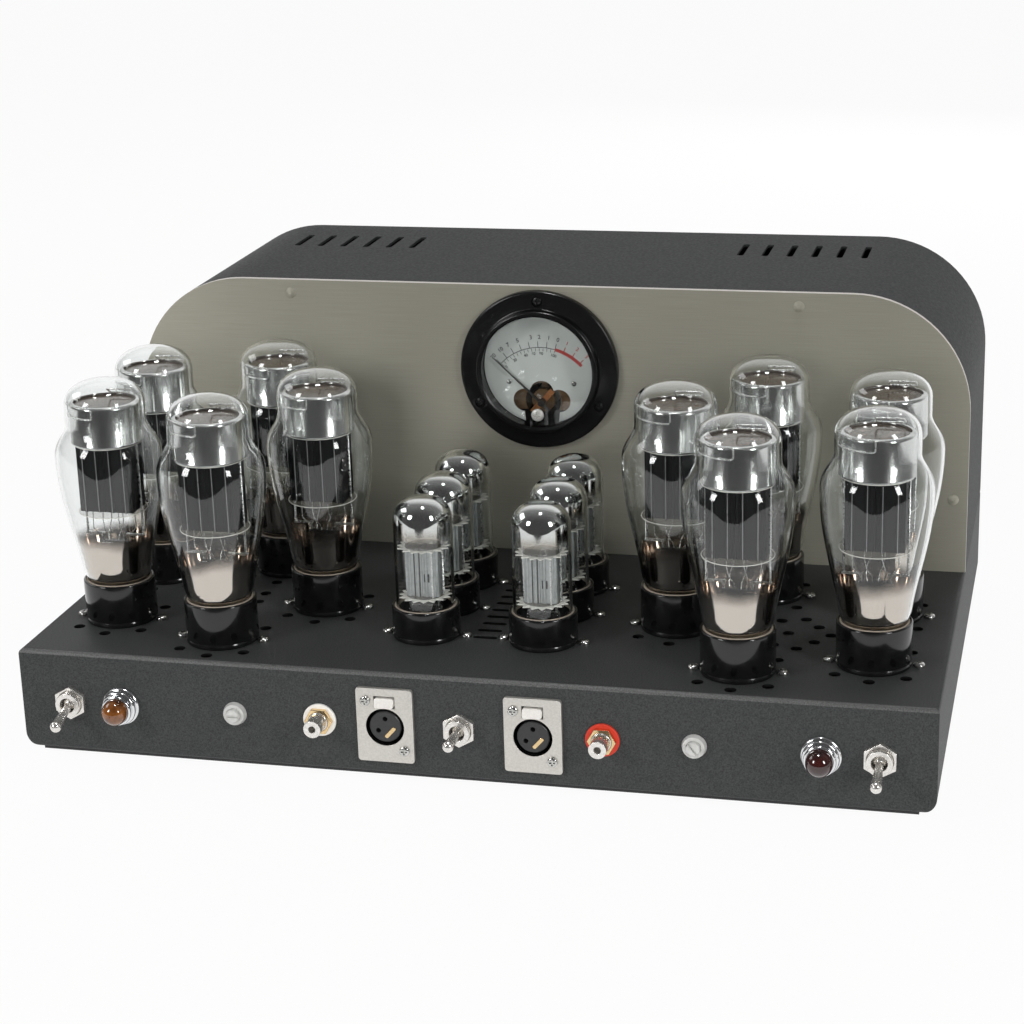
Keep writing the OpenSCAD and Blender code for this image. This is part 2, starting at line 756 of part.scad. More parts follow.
module faceplate() {
    color("#8d8c82") difference() {
        along_y(plate_y, deck_z, faceplate_t) arch(chassis_w, hood_h, hood_corner_r);
        on_meter() {
            down(faceplate_t + cut) cylinder(r = meter_rim_d / 2 + slip_gap, h = faceplate_t + 2 * cut);
            down(faceplate_t + cut) meter_screw_sites()
                cylinder(r = meter_screw_hole_r, h = faceplate_t + 2 * cut);
        }
        faceplate_screw_sites() down(faceplate_t + cut) cylinder(r = cover_hole_r, h = faceplate_t + 2 * cut);
    }
}

module faceplate_screws() {
    color("#a8a79d") faceplate_screw_sites()
        pan_screw(faceplate_screw_head, 1.2, cover_screw_d, faceplate_t + hood_t + 4);
}

// Outline of a power tube's bulb: an eased swell to the belly, an eased shoulder, and a flat dome
function ease(t) = (1 - cos(180 * t)) / 2;
function bulb_outline(inset) = concat(
    [for (k = [0 : 7]) let (t = k / 8)
        [neck_d / 2 + (bulb_d - neck_d) / 2 * ease(pow(t, 0.85)) - inset,
         base_h + slip_gap + (belly_h - base_h) * t]],
    [for (k = [0 : 5]) let (t = k / 6)
        [bulb_d / 2 - (bulb_d - dome_d) / 2 * ease(pow(t, 1.3)) - inset,
         belly_h + (shoulder_h - belly_h) * t]],
    [[dome_d / 2 - inset, shoulder_h]],
    dome_outline(dome_d / 2 - inset, dome_h, tube_h - inset)
);

// Closing dome from radius r at height low to the axis at height top
function dome_outline(r, low, top) = [
    for (k = [0 : 7]) let (a = k * 90 / 7)
        [r * pow(max(cos(a), 0), 0.83), low + (top - low) * pow(sin(a), 0.83)]
];

function back(list) = [for (k = [len(list) - 1 : -1 : 0]) list[k]];

// Moulded base cup with its locating post, which has a key rib
module tube_base(d, h) {
    rim_r = 0.8;
    difference() {
        union() {
            cylinder(d = d, h = h - rim_r);
            cylinder(d = d - 2 * rim_r, h = h);
            translate([0, 0, h - rim_r]) rotate_extrude() translate([d / 2 - rim_r, 0]) circle(rim_r);
        }
        translate([0, 0, base_floor]) cylinder(d = d - 2 * base_wall, h = h);
    }
    down(pin_l + 1) cylinder(d = key_d, h = pin_l + 1 + base_floor / 2);
    translate([0, -key_rib / 2, -pin_l]) cube([key_d / 2 + 1, key_rib, pin_l + base_floor / 2]);
}

module power_tube_bases() {
    color("#0c0c0d") on_sites(power_sites) tube_base(base_d, base_h);
}

module power_tube_envelopes() {
    outer = bulb_outline(0);
    inner = bulb_outline(glass_t);
    bore_r = neck_in_base_r - glass_t;
    color("#c8cccb") on_sites(power_sites) rotate_extrude() polygon(concat(
        [[bore_r, base_floor], [neck_in_base_r, base_floor], [neck_in_base_r, base_h + slip_gap]],
        outer, back([for (k = [1 : len(inner) - 1]) inner[k]]), [[bore_r, base_h + slip_gap]]
    ));
}

module driver_tube_bases() {
    color("#0c0c0d") on_sites(driver_sites) tube_base(driver_base_d, driver_base_h);
}

module driver_tube_envelopes() {
    r = driver_glass_d / 2;
    low = driver_h - 12;
    color("#c8cccb") on_sites(driver_sites) rotate_extrude() polygon(concat(
        [[r - glass_t, base_floor], [r, base_floor]],
        dome_outline(r, low, driver_h),
        back(dome_outline(r - glass_t, low, driver_h - glass_t))
    ));
}

// Glass foot of a tube: a disc on the base's floor, a drawn cone and the flat press with the leads
module stem(r, press_top) {
    foot_l = 3;
    cone_l = (press_top - base_floor - foot_l) * 0.6;
    translate([0, 0, base_floor]) {
        cylinder(r = r, h = foot_l);
        translate([0, 0, foot_l]) cylinder(r1 = r * 0.7, r2 = press_d / 2, h = cone_l);
    }
    translate([-press_w / 2, -press_d / 2, base_floor + foot_l + cone_l / 2])
        cube([press_w, press_d, press_top - base_floor - foot_l - cone_l / 2]);
}

module tube_stems() {
    color("#d2d6d6") {
        on_sites(power_sites) stem(neck_in_base_r - glass_t - part_gap, press_h);
        on_sites(driver_sites) stem(driver_glass_d / 2 - glass_t - part_gap, driver_press_h);
    }
}

module rod_holes(x, y, h) {
    for (sx = [-1, 1], sy = y == 0 ? [0] : [-1, 1])
        translate([sx * x, sy * y, h - cut]) cylinder(r = rod_r + slip_gap, h = mica_t + 2 * cut);
}

module power_mica(h) {
    difference() {
        translate([0, 0, h]) cylinder(d = mica_d, h = mica_t);
        rod_holes(rod_x, 0, h);
    }
}

// Driver mica: a disc with points that spring against the glass
module driver_mica(h) {
    tooth = 1.6;
    difference() {
        translate([0, 0, h]) linear_extrude(mica_t) polygon([
            for (k = [0 : 2 * driver_mica_points - 1])
                let (r = driver_mica_d / 2 - (k % 2) * tooth, a = k * 180 / driver_mica_points)
                    [r * cos(a), r * sin(a)]
        ]);
        rod_holes(driver_rod_x, 0, h);
    }
}

module tube_micas() {
    color("#e4e2da") {
        on_sites(power_sites) {
            power_mica(mica_low_h);
            power_mica(mica_top_h);
        }
        on_sites(driver_sites) {
            driver_mica(driver_mica_low_h);
            driver_mica(driver_mica_top_h);
        }
    }
}

// Pressed anode box, open above and below, with upright ribs on its two broad faces
module anode(w, d, t, rib_r, h) {
    difference() {
        union() {
            translate([-w / 2, -d / 2 + rib_r, 0]) cube([w, d - 2 * rib_r, h]);
            for (sx = [-0.25, 0.25], sy = [-1, 1])
                translate([sx * w, sy * (d / 2 - rib_r), 0]) cylinder(r = rib_r, h = h);
        }
        translate([-w / 2 + t, -d / 2 + rib_r + t, -cut])
            cube([w - 2 * t, d - 2 * rib_r - 2 * t, h + 2 * cut]);
    }
}

module power_tube_plates() {
    color("#121214") on_sites(power_sites) translate([0, 0, mica_low_h + mica_t]) for (side = [-1, 1])
        translate([side * plates_w / 4, 0, 0])
            anode(plates_w / 2 - part_gap, plates_d, plates_t, plates_rib_r, plates_h);
}

module driver_tube_plates() {
    h = driver_mica_top_h - driver_mica_low_h - mica_t;
    wall = 0.6;
    rib_r = 0.7;
    color("#9fa3a4") on_sites(driver_sites) translate([0, 0, driver_mica_low_h + mica_t])
        for (side = [-1, 1]) translate([side * driver_plates_w / 4, 0, 0])
            anode(driver_plates_w / 2 - part_gap, driver_plates_d, wall, rib_r, h);
}

// Silver can over the upper mica, closed above
module power_tube_shields() {
    color("#c9c9c6") on_sites(power_sites) translate([0, 0, shield_h]) difference() {
        cylinder(d = shield_d, h = shield_l);
        down(cut) cylinder(d = shield_d - 2 * shield_t, h = shield_l - shield_t + cut);
    }
}

// A lead stands on the press, and a strap joins it to the rod that runs up through the micas
module lead(x, press_top, top) {
    foot_x = press_w / 2 - 1.5;
    strap_h = press_top + 3;
    strap_t = 0.8;
    strap_w = 2 * rod_r + 0.6;
    translate([foot_x, 0, press_top]) cylinder(r = rod_r, h = strap_h - press_top + strap_t / 2);
    translate([foot_x - strap_w / 2, -strap_w / 2, strap_h]) cube([x - foot_x + strap_w, strap_w, strap_t]);
    translate([x, 0, strap_h + strap_t / 2]) cylinder(r = rod_r, h = top - strap_h - strap_t / 2);
}

module tube_support_wires() {
    color("#b4b6b6") for (turn = [0, 180]) {
        on_sites(power_sites) rotate(turn) lead(rod_x, press_h, shield_h + shield_l - shield_t);
        on_sites(driver_sites) rotate(turn) lead(driver_rod_x, driver_press_h, driver_mica_top_h + 5);
    }
}

module tube_pins() {
    color("#c8a858") on_sites(tube_sites) for (k = [0 : 7])
        rotate(22.5 + k * 45) translate([pin_circle_d / 2, 0, -pin_l]) cylinder(d = pin_d, h = pin_l);
}

// Moulded socket under the deck: a boss in the deck hole, a flange with two ears, and a body
module tube_socket(screw_x) {
    ear_r = socket_screw_d / 2 + 2.5;
    flange_t = 3;
    body_r = pin_circle_d / 2 + pin_d / 2 + 2.5;
    low = sheet_t + socket_l;
    difference() {
        union() {
            down(sheet_t) cylinder(r = socket_hole_d / 2 - slip_gap, h = sheet_t - slip_gap);
            down(sheet_t + flange_t) {
                cylinder(d = socket_hole_d + 3, h = flange_t);
                bar(2 * screw_x, 2 * ear_r, flange_t);
                for (side = [-1, 1]) translate([side * screw_x, 0, 0]) cylinder(r = ear_r, h = flange_t);
            }
            down(low) cylinder(r = body_r, h = socket_l);
        }
        down(low + cut) {
            for (k = [0 : 7]) rotate(22.5 + k * 45) translate([pin_circle_d / 2, 0, 0])
                cylinder(r = pin_d / 2 + slip_gap, h = 2 * socket_l);
            cylinder(r = key_d / 2 + slip_gap, h = 2 * socket_l);
            translate([0, -key_rib / 2 - slip_gap, 0])
                cube([key_d / 2 + 1 + slip_gap, key_rib + 2 * slip_gap, 2 * socket_l]);
        }
        for (side = [-1, 1]) translate([side * screw_x, 0, -sheet_t - flange_t - cut])
            cylinder(r = socket_hole_r, h = flange_t + 2 * cut);
    }
}

module tube_sockets() {
    color("#2a2623") {
        on_sites(power_sites) tube_socket(power_screw_x);
        on_sites(driver_sites) tube_socket(driver_screw_x);
    }
}

module socket_screws() {
    color("#c4c4c2") socket_screw_sites()
        pan_screw(socket_screw_head, socket_screw_h, socket_screw_d, sheet_t + socket_screw_l);
}

// Meter: a flanged case with a raised rim, glass behind the rim's lip, dial and moving-coil movement
module meter_screw_sites() {
    for (a = [90, 210, 330]) rotate(a) translate([meter_screw_r, 0, 0]) children();
}

module meter_case() {
    edge_r = 1.2;
    lip_z = glass_z + meter_glass_t;
    head_r = meter_screw_head / 2 + slip_gap;
    color("#111112") on_meter() difference() {
        union() {
            cylinder(d = meter_d, h = meter_flange_t - edge_r);
            cylinder(d = meter_d - 2 * edge_r, h = meter_flange_t);
            translate([0, 0, meter_flange_t - edge_r]) rotate_extrude()
                translate([meter_d / 2 - edge_r, 0]) circle(edge_r);
            cylinder(d = meter_rim_d, h = meter_rim_h - edge_r);
            cylinder(d = meter_rim_d - 2 * edge_r, h = meter_rim_h);
            translate([0, 0, meter_rim_h - edge_r]) rotate_extrude()
                translate([meter_rim_d / 2 - edge_r, 0]) circle(edge_r);
            down(meter_depth) cylinder(d = meter_rim_d, h = meter_depth);
        }
        down(meter_depth - meter_wall) cylinder(r = meter_bore_r, h = meter_depth - meter_wall + lip_z);
        cylinder(d = meter_window_d, h = meter_rim_h + cut);
        meter_screw_sites() {
            down(cut) cylinder(r = meter_screw_hole_r, h = meter_flange_t + 2 * cut);
            translate([0, 0, meter_flange_t - meter_screw_well])
                cylinder(r = head_r, h = meter_screw_well + cut);
        }
    }
}

module meter_glass() {
    color("#dfe3e3") on_meter() difference() {
        translate([0, 0, glass_z]) cylinder(r = meter_bore_r - slip_gap, h = meter_glass_t);
        translate([0, zero_y, glass_z - cut])
            cylinder(r = zero_stem_r + slip_gap, h = meter_glass_t + 2 * cut);
    }
}

// The dial stands on two pillars of the movement and is cut away over the coil
module meter_dial() {
    color("#c6c8c4") on_meter() difference() {
        translate([0, 0, dial_z - dial_t]) cylinder(r = meter_bore_r - part_gap, h = dial_t);
        translate([0, -pivot_drop - 2.2, dial_z - dial_t - cut]) cylinder(r = 14, h = dial_t + 2 * cut);
    }
}

// Pole block with a round bore, the iron core held in it by a bridge, and two pillars for the dial
module meter_movement() {
    block_w = 36;
    block_low = 5;
    block_h = 2 * pole_r + 2;
    back_z = -meter_depth + meter_wall;
    pillar_x = block_w / 2 - 3;
    color("#8a6a44") on_meter() translate([0, -pivot_drop, 0]) {
        difference() {
            translate([-block_w / 2, -block_low, back_z])
                cube([block_w, block_h / 2 + block_low, core_front - back_z]);
            down(meter_depth) cylinder(r = pole_r, h = meter_depth);
        }
        difference() {
            union() {
                translate([0, 0, core_front - core_l]) cylinder(r = core_r, h = core_l);
                translate([-1.5, 0, core_front - core_l + 4]) cube([3, pole_r + 1, core_l - 8]);
            }
            translate([0, 0, core_front - 5]) cylinder(r = spindle_r + slip_gap, h = 5 + cut);
        }
        for (side = [-1, 1]) translate([side * pillar_x, block_h / 2 - 4, core_front - cut])
            cylinder(r = 2, h = dial_z - dial_t - core_front + cut);
    }
}

// Wound frame that turns round the core, with the spindle that carries the needle
module meter_coil() {
    reach = coil_r + coil_wire / 2;
    back_z = core_front - core_l - part_gap - coil_wire;
    front_z = core_front + part_gap;
    color("#b06a3a") on_meter() translate([0, -pivot_drop, 0]) rotate(needle_rest) {
        for (z = [back_z, front_z]) translate([0, 0, z]) bar(2 * reach, 3, coil_wire);
        for (side = [-1, 1]) translate([side * coil_r - coil_wire / 2, -1.5, back_z])
            cube([coil_wire, 3, front_z - back_z + coil_wire]);
        translate([0, 0, core_front - 4])
            cylinder(r = spindle_r, h = front_z - core_front + 4 + coil_wire / 2);
    }
}

module meter_needle() {
    hub_z = core_front + part_gap + coil_wire;
    needle_z = dial_z + 1.6;
    color("#16130f") on_meter() translate([0, -pivot_drop, 0]) rotate(needle_rest) {
        translate([0, 0, hub_z]) cylinder(r = 1.8, h = needle_z - hub_z + 1);
        translate([0, 0, needle_z]) linear_extrude(0.5)
            polygon([[-0.7, -6], [0.7, -6], [0.6, 0], [0.2, needle_l], [-0.2, needle_l], [-0.6, 0]]);
    }
}

module meter_screws() {
    seat_z = meter_flange_t - meter_screw_well;
    color("#1c1c1d") on_meter() meter_screw_sites() translate([0, 0, seat_z])
        pan_screw(meter_screw_head, meter_screw_well - 0.2, meter_screw_d, seat_z + faceplate_t + 4);
}

module meter_zero_screw() {
    color("#d4d6d4") on_meter() translate([0, zero_y, 0]) difference() {
        union() {
            translate([0, 0, glass_z + meter_glass_t + part_gap / 2]) cylinder(d = zero_head, h = 1.6);
            translate([0, 0, glass_z - 1.5]) cylinder(r = zero_stem_r, h = meter_glass_t + 2);
        }
        translate([-zero_head, -0.5, glass_z + meter_glass_t + 1.1]) cube([2 * zero_head, 1, 2]);
    }
}

// Toggle switch: a box behind the panel and a bushing whose round hollow holds the lever's ball
module switch_bodies() {
    well_r = lever_ball_d / 2 + part_gap;
    well_floor = lever_pivot_out - lever_ball_d / 2 - part_gap;
    color("#b9b9b6") for (x = [-switch_x, 0, switch_x]) on_front(x) difference() {
        union() {
            down(sheet_t) cylinder(d = bushing_d, h = sheet_t + bushing_out);
            down(sheet_t + switch_depth) bar(switch_w, switch_h, switch_depth);
        }
        translate([0, 0, well_floor]) cylinder(r = well_r, h = bushing_out - well_floor + cut);
    }
}

module switch_nuts() {
    color("#cfcfca") for (x = [-switch_x, 0, switch_x]) on_front(x)
        rotate(30) hex_nut(switch_nut_af, switch_nut_t, bushing_d / 2 + slip_gap);
}

// Bat lever about its ball, turned down from straight out by the angle given
module toggle_lever(x, turn) {
    tip_r = lever_tip_d / 2;
    color("#c9c9c4") on_front(x) translate([0, 0, lever_pivot_out]) rotate([turn, 0, 0]) {
        sphere(d = lever_ball_d);
        cylinder(r1 = 1.5, r2 = tip_r * 0.94, h = lever_l);
        translate([0, 0, lever_l]) sphere(tip_r);
    }
}

module toggle_lever_left() {
    toggle_lever(-switch_x, lever_throw);
}

module toggle_lever_centre() {
    toggle_lever(0, 0);
}

module toggle_lever_right() {
    toggle_lever(switch_x, lever_throw);
}

// Lamp holder: a stepped chrome bezel on a barrel through the panel, hollow for the lens
module lamp_bezels() {
    step = (lamp_d / 2 - lamp_barrel_r) / 3;
    color("#d6d6d2") both_sides(lamp_x) difference() {
        union() {
            for (k = [0 : 2]) cylinder(r = lamp_barrel_r + step * (3 - k), h = 2 + k * 1.6);
            cylinder(r = lamp_barrel_r, h = bezel_h);
            down(lamp_depth) cylinder(r = lamp_barrel_r, h = lamp_depth);
        }
        translate([0, 0, lens_seat_z]) cylinder(r = lens_d / 2 + slip_gap, h = bezel_h);
        down(lamp_depth - 4) cylinder(r = lens_d / 2 - 1.5, h = lamp_depth);
    }
}

// Jewel: a short cylinder under a ball cap
module lens() {
    r = lens_d / 2;
    translate([0, 0, lens_seat_z]) cylinder(r = r, h = lens_out - r - lens_seat_z);
    translate([0, 0, lens_out - r]) sphere(r);
}

module amber_lens() {
    color("#b4691c") on_front(-lamp_x) lens();
}

module red_lens() {
    color("#3a0d0c") on_front(lamp_x) lens();
}

// Trimmer: a nylon collar and barrel through the panel with the trimmer's box behind
module adjuster_collars() {
    bore_r = adjuster_shaft_d / 2 + slip_gap;
    box_w = 13;
    box_l = 9;
    color("#b9bbb7") both_sides(adjuster_x) difference() {
        union() {
            cylinder(d1 = adjuster_d, d2 = adjuster_d - 1.4, h = adjuster_collar_h);
            down(sheet_t) cylinder(r = adjuster_barrel_r, h = sheet_t);
            down(sheet_t + box_l) bar(box_w, box_w, box_l);
        }
        down(sheet_t + 5) cylinder(r = bore_r, h = sheet_t + 5 + adjuster_collar_h + cut);
    }
}

module adjuster_shaft(x, turn) {
    low = -sheet_t - 5 + part_gap;
    edge = 0.5;
    end_d = adjuster_shaft_d - 2 * edge;
    color("#cfd1ce") on_front(x) rotate(turn) difference() {
        union() {
            translate([0, 0, low]) cylinder(d = adjuster_shaft_d, h = adjuster_out - low - edge);
            translate([0, 0, adjuster_out - edge]) cylinder(d1 = adjuster_shaft_d, d2 = end_d, h = edge);
        }
        translate([0, 0, adjuster_out - 1.3]) bar(2 * adjuster_shaft_d, adjuster_slot, 2);
    }
}

module adjuster_shaft_left() {
    adjuster_shaft(-adjuster_x, 0);
}

module adjuster_shaft_right() {
    adjuster_shaft(adjuster_x, adjuster_right_turn);
}

// Phono jack: a nickel collar bored for the plug's pin, with a flange behind the panel
module phono_jacks() {
    flange_t = 4;
    tail_l = 6;
    thread_out = phono_washer_t + phono_nut_t + 0.2;
    color("#c6c8c8") both_sides(phono_x) difference() {
        union() {
            down(sheet_t + flange_t) cylinder(r = phono_thread_d / 2 + 2, h = flange_t);
            down(sheet_t + flange_t + tail_l)
                cylinder(d = phono_thread_d, h = sheet_t + flange_t + tail_l + thread_out);
            translate([0, 0, thread_out - cut]) cylinder(d = phono_d, h = phono_out - thread_out + cut);
        }
        translate([0, 0, phono_out - phono_hole_l]) cylinder(d = phono_hole_d, h = phono_hole_l + cut);
    }
}

module phono_nuts() {
    color("#c79a4e") both_sides(phono_x) translate([0, 0, phono_washer_t])
        hex_nut(phono_nut_af, phono_nut_t, phono_thread_d / 2 + slip_gap);
}

// Insulating washer with a shoulder that fills the panel's hole
module phono_washer() {
    difference() {
        union() {
            cylinder(d = phono_washer_d, h = phono_washer_t);
            down(sheet_t) cylinder(r = phono_thread_d / 2 + 1, h = sheet_t);
        }
        down(sheet_t + cut)
            cylinder(r = phono_thread_d / 2 + slip_gap, h = sheet_t + phono_washer_t + 2 * cut);
    }
}

module phono_washer_white() {
    color("#d9d8d2") on_front(-phono_x) phono_washer();
}

module phono_washer_red() {
    color("#d8301f") on_front(phono_x) phono_washer();
}

// Balanced socket: a square flange with a round opening and a barrel behind the panel
module balanced_screw_sites() {
    screw_x = balanced_w / 2 - balanced_screw_in;
    screw_y = balanced_h / 2 - balanced_screw_in - 1.6;
    for (side = [-1, 1]) translate([-side * screw_x, side * screw_y, 0]) children();
}

module latch_block(gap, l) {
    low = balanced_hole_d / 2 - balanced_drop + 0.7;
    translate([-latch_w / 2 - gap, low - gap, 0]) cube([latch_w + 2 * gap, latch_h + 2 * gap, l]);
}

module balanced_shells() {
    bore_r = balanced_hole_d / 2;
    color("#b4b2aa") both_sides(balanced_x) difference() {
        union() {
            bar(balanced_w, balanced_h, balanced_t);
            translate([0, -balanced_drop, -balanced_depth])
                cylinder(r = bore_r + balanced_wall, h = balanced_depth);
        }
        translate([0, -balanced_drop, -balanced_depth - cut])
            cylinder(r = bore_r, h = balanced_depth + balanced_t + 2 * cut);
        down(balanced_depth + cut) latch_block(part_gap, balanced_depth + balanced_t + 2 * cut);
        balanced_screw_sites() down(cut) cylinder(r = balanced_screw_r, h = balanced_t + 2 * cut);
    }
}

module contact_sites() {
    for (a = [-30, 90, 210]) rotate(a) translate([contact_r, 0, 0]) children();
}

// Black insert: a plug with three contact holes on a disc that closes the barrel
module balanced_inserts() {
    color("#131314") both_sides(balanced_x) translate([0, -balanced_drop, 0]) difference() {
        union() {
            down(balanced_depth) cylinder(r = balanced_hole_d / 2 - slip_gap, h = insert_disc_t);
            down(balanced_depth) cylinder(d = insert_d, h = balanced_depth + insert_face_z);
        }
        down(balanced_depth - insert_disc_t) contact_sites()
            cylinder(r = contact_d / 2 + slip_gap, h = balanced_depth + balanced_t);
    }
}

module balanced_contacts() {
    low = -balanced_depth + insert_disc_t;
    color("#c9a04c") both_sides(balanced_x) translate([0, -balanced_drop, 0]) contact_sites() difference() {
        translate([0, 0, low]) cylinder(d = contact_d, h = insert_face_z - 1 - low);
        translate([0, 0, low + 2]) cylinder(d = contact_bore, h = balanced_depth);
    }
}

module balanced_screws() {
    color("#c2c2bd") both_sides(balanced_x) translate([0, 0, balanced_t]) balanced_screw_sites()
        pan_screw(
            balanced_screw_head, balanced_screw_h, balanced_screw_d, balanced_t + sheet_t + balanced_screw_l
        );
}

// Push tab over the round opening, on a plunger through the flange
module latch_tab(x) {
    plunger_l = 8;
    color("#bdbdb8") on_front(x) down(plunger_l) latch_block(0, plunger_l + balanced_t + latch_out);
}

module latch_tab_left() {
    latch_tab(-balanced_x);
}

module latch_tab_right() {
    latch_tab(balanced_x);
}

// Mains inlet: a flanged body with a plug recess, three pins and a drawer slot above
module mains_inlet() {
    body_l = drawer_l + 4;
    pin_w = 2;
    pin_h = 4;
    floor_z = inlet_t - inlet_recess_l;
    color("#151516") on_rear(inlet_x, inlet_z) {
        difference() {
            union() {
                bar(inlet_w, inlet_h, inlet_t);
                down(body_l) bar(inlet_body_w, inlet_body_h, body_l + inlet_t);
            }
            translate([0, recess_y, floor_z]) bar(inlet_recess_w, inlet_recess_h, inlet_recess_l + cut);
            translate([0, drawer_y, inlet_t - drawer_l - part_gap])
                bar(drawer_w + 2 * slip_gap, drawer_h + 2 * slip_gap, drawer_l + part_gap + cut);
        }
        for (p = [[-7, -2], [7, -2], [0, 2]])
            translate([p[0], recess_y + p[1], floor_z - cut]) bar(pin_w, pin_h, inlet_recess_l - 1);
    }
}

// Fuse drawer with a finger lip
module fuse_drawer() {
    color("#1b1b1c") on_rear(inlet_x, inlet_z) translate([0, drawer_y, 0]) {
        translate([0, 0, inlet_t - drawer_l]) bar(drawer_w, drawer_h, drawer_l);
        translate([0, 0, inlet_t]) bar(drawer_w * 0.6, 2, 1.5);
    }
}

// Speaker posts: a stud with a collar on each side of the panel, bored for a plug
module post_sites() {
    for (side = [-1, 1], k = [-0.5, 0.5]) on_rear(side * post_x + k * post_span) children();
}

module post_studs() {
    collar_t = 2;
    collar_r = post_cap_d / 2 + 0.6;
    inside_l = 10;
    color("#c8a24e") post_sites() difference() {
        union() {
            cylinder(r = collar_r, h = collar_t);
            down(sheet_t + inside_l) cylinder(d = post_stud_d, h = sheet_t + inside_l + post_l);
            down(sheet_t + collar_t) cylinder(r = collar_r, h = collar_t);
        }
        translate([0, 0, post_l - post_bore_l]) cylinder(d = post_bore_d, h = post_bore_l + cut);
    }
}

// Fluted cap that clamps a wire against the collar
module post_cap(x) {
    flute_r = 1.2;
    low = post_l - post_cap_l - 1.5;
    on_rear(x) translate([0, 0, low]) difference() {
        cylinder(d = post_cap_d, h = post_cap_l);
        down(cut) cylinder(r = post_stud_d / 2 + slip_gap, h = post_cap_l + 2 * cut);
        for (k = [0 : 9]) rotate(k * 36) translate([post_cap_d / 2 + flute_r * 0.5, 0, -cut])
            cylinder(r = flute_r, h = post_cap_l + 2 * cut);
    }
}

module post_cap_left_red() {
    color("#a81f18") post_cap(-post_x - post_span / 2);
}

module post_cap_left_black() {
    color("#161616") post_cap(-post_x + post_span / 2);
}

module post_cap_right_red() {
    color("#a81f18") post_cap(post_x + post_span / 2);
}

module post_cap_right_black() {
    color("#161616") post_cap(post_x - post_span / 2);
}

// Mains transformers under the hood: a laminated core on the deck with its coil through it
module transformer_window() {
    limb = core_w / 6;
    for (side = [-1, 1]) translate([side * core_w / 4 - (core_w / 4 - limb) / 2 - limb / 4, limb])
        square([core_w / 4 - limb / 2, core_h - 2 * limb]);
}

module transformer_cores() {
    color("#3b3d3f") for (side = [-1, 1])
        translate([side * transformer_x, transformer_y + core_stack / 2, deck_z]) rotate([90, 0, 0])
            linear_extrude(core_stack) difference() {
                translate([-core_w / 2, 0]) square([core_w, core_h]);
                transformer_window();
            }
}

module transformer_coils() {
    limb = core_w / 6;
    win = core_w / 4 - limb / 2;
    tongue = core_w / 4 - (core_w / 4 - limb) / 2 - limb / 4;
    outer = tongue + win - part_gap;
    h = core_h - 2 * limb - 2 * part_gap;
    d = core_stack + 2 * coil_out;
    color("#8a5a34") for (side = [-1, 1])
        translate([side * transformer_x, transformer_y, deck_z + limb + part_gap]) difference() {
            bar(2 * outer, d, h);
            down(cut) bar(2 * tongue + 2 * part_gap, core_stack + 2 * part_gap, h + 2 * cut);
        }
}

// Filter capacitors stand on the deck between the transformers
module filter_capacitors() {
    pitch = capacitor_d + 4;
    color("#22304a") for (sx = [-1, 1], k = [0, 1])
        translate([sx * pitch / 2, transformer_y + (k - 0.5) * pitch, deck_z]) {
            cylinder(d = capacitor_d, h = capacitor_h - 1.5);
            translate([0, 0, capacitor_h - 1.5]) cylinder(d1 = capacitor_d, d2 = capacitor_d - 3, h = 1.5);
        }
}

// Circuit board on pillars from the bottom plate, with its rectifier and two small cans
module circuit_board() {
    top = foot_h + plate_t + board_h + board_t;
    color("#2f5a3a") translate([0, board_y, 0]) {
        translate([0, 0, foot_h + plate_t + board_h]) bar(board_l, board_w, board_t);
        for (sx = [-1, 1], sy = [-1, 1])
            translate([sx * (board_l / 2 - pillar_in), sy * (board_w / 2 - pillar_in), foot_h + plate_t])
                cylinder(d = pillar_d, h = board_h + cut);
        translate([0, 0, top - cut]) bar(rectifier_w, rectifier_w, rectifier_h);
        for (side = [-1, 1]) translate([side * can_x, 0, top - cut]) cylinder(d = can_d, h = can_h);
    }
}

chassis();
bottom_plate();
rubber_feet();
cover_screws();
hood();
faceplate();
faceplate_screws();
power_tube_bases();
power_tube_envelopes();
power_tube_plates();
power_tube_shields();
driver_tube_bases();
driver_tube_envelopes();
driver_tube_plates();
tube_stems();
tube_micas();
tube_support_wires();
tube_pins();
tube_sockets();
socket_screws();
meter_case();
meter_glass();
meter_dial();
meter_movement();
meter_coil();
meter_needle();
meter_screws();
meter_zero_screw();
switch_bodies();
switch_nuts();
toggle_lever_left();
toggle_lever_centre();
toggle_lever_right();
lamp_bezels();
amber_lens();
red_lens();
adjuster_collars();
adjuster_shaft_left();
adjuster_shaft_right();
phono_jacks();
phono_nuts();
phono_washer_white();
phono_washer_red();
balanced_shells();
balanced_inserts();
balanced_contacts();
balanced_screws();
latch_tab_left();
latch_tab_right();
mains_inlet();
fuse_drawer();
post_studs();
post_cap_left_red();
post_cap_left_black();
post_cap_right_red();
post_cap_right_black();
transformer_cores();
transformer_coils();
filter_capacitors();
circuit_board();
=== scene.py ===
"""Looks of a stereo tube power amplifier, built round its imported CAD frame."""

import json
import math

import bmesh
import bpy
from mathutils import Matrix, Vector


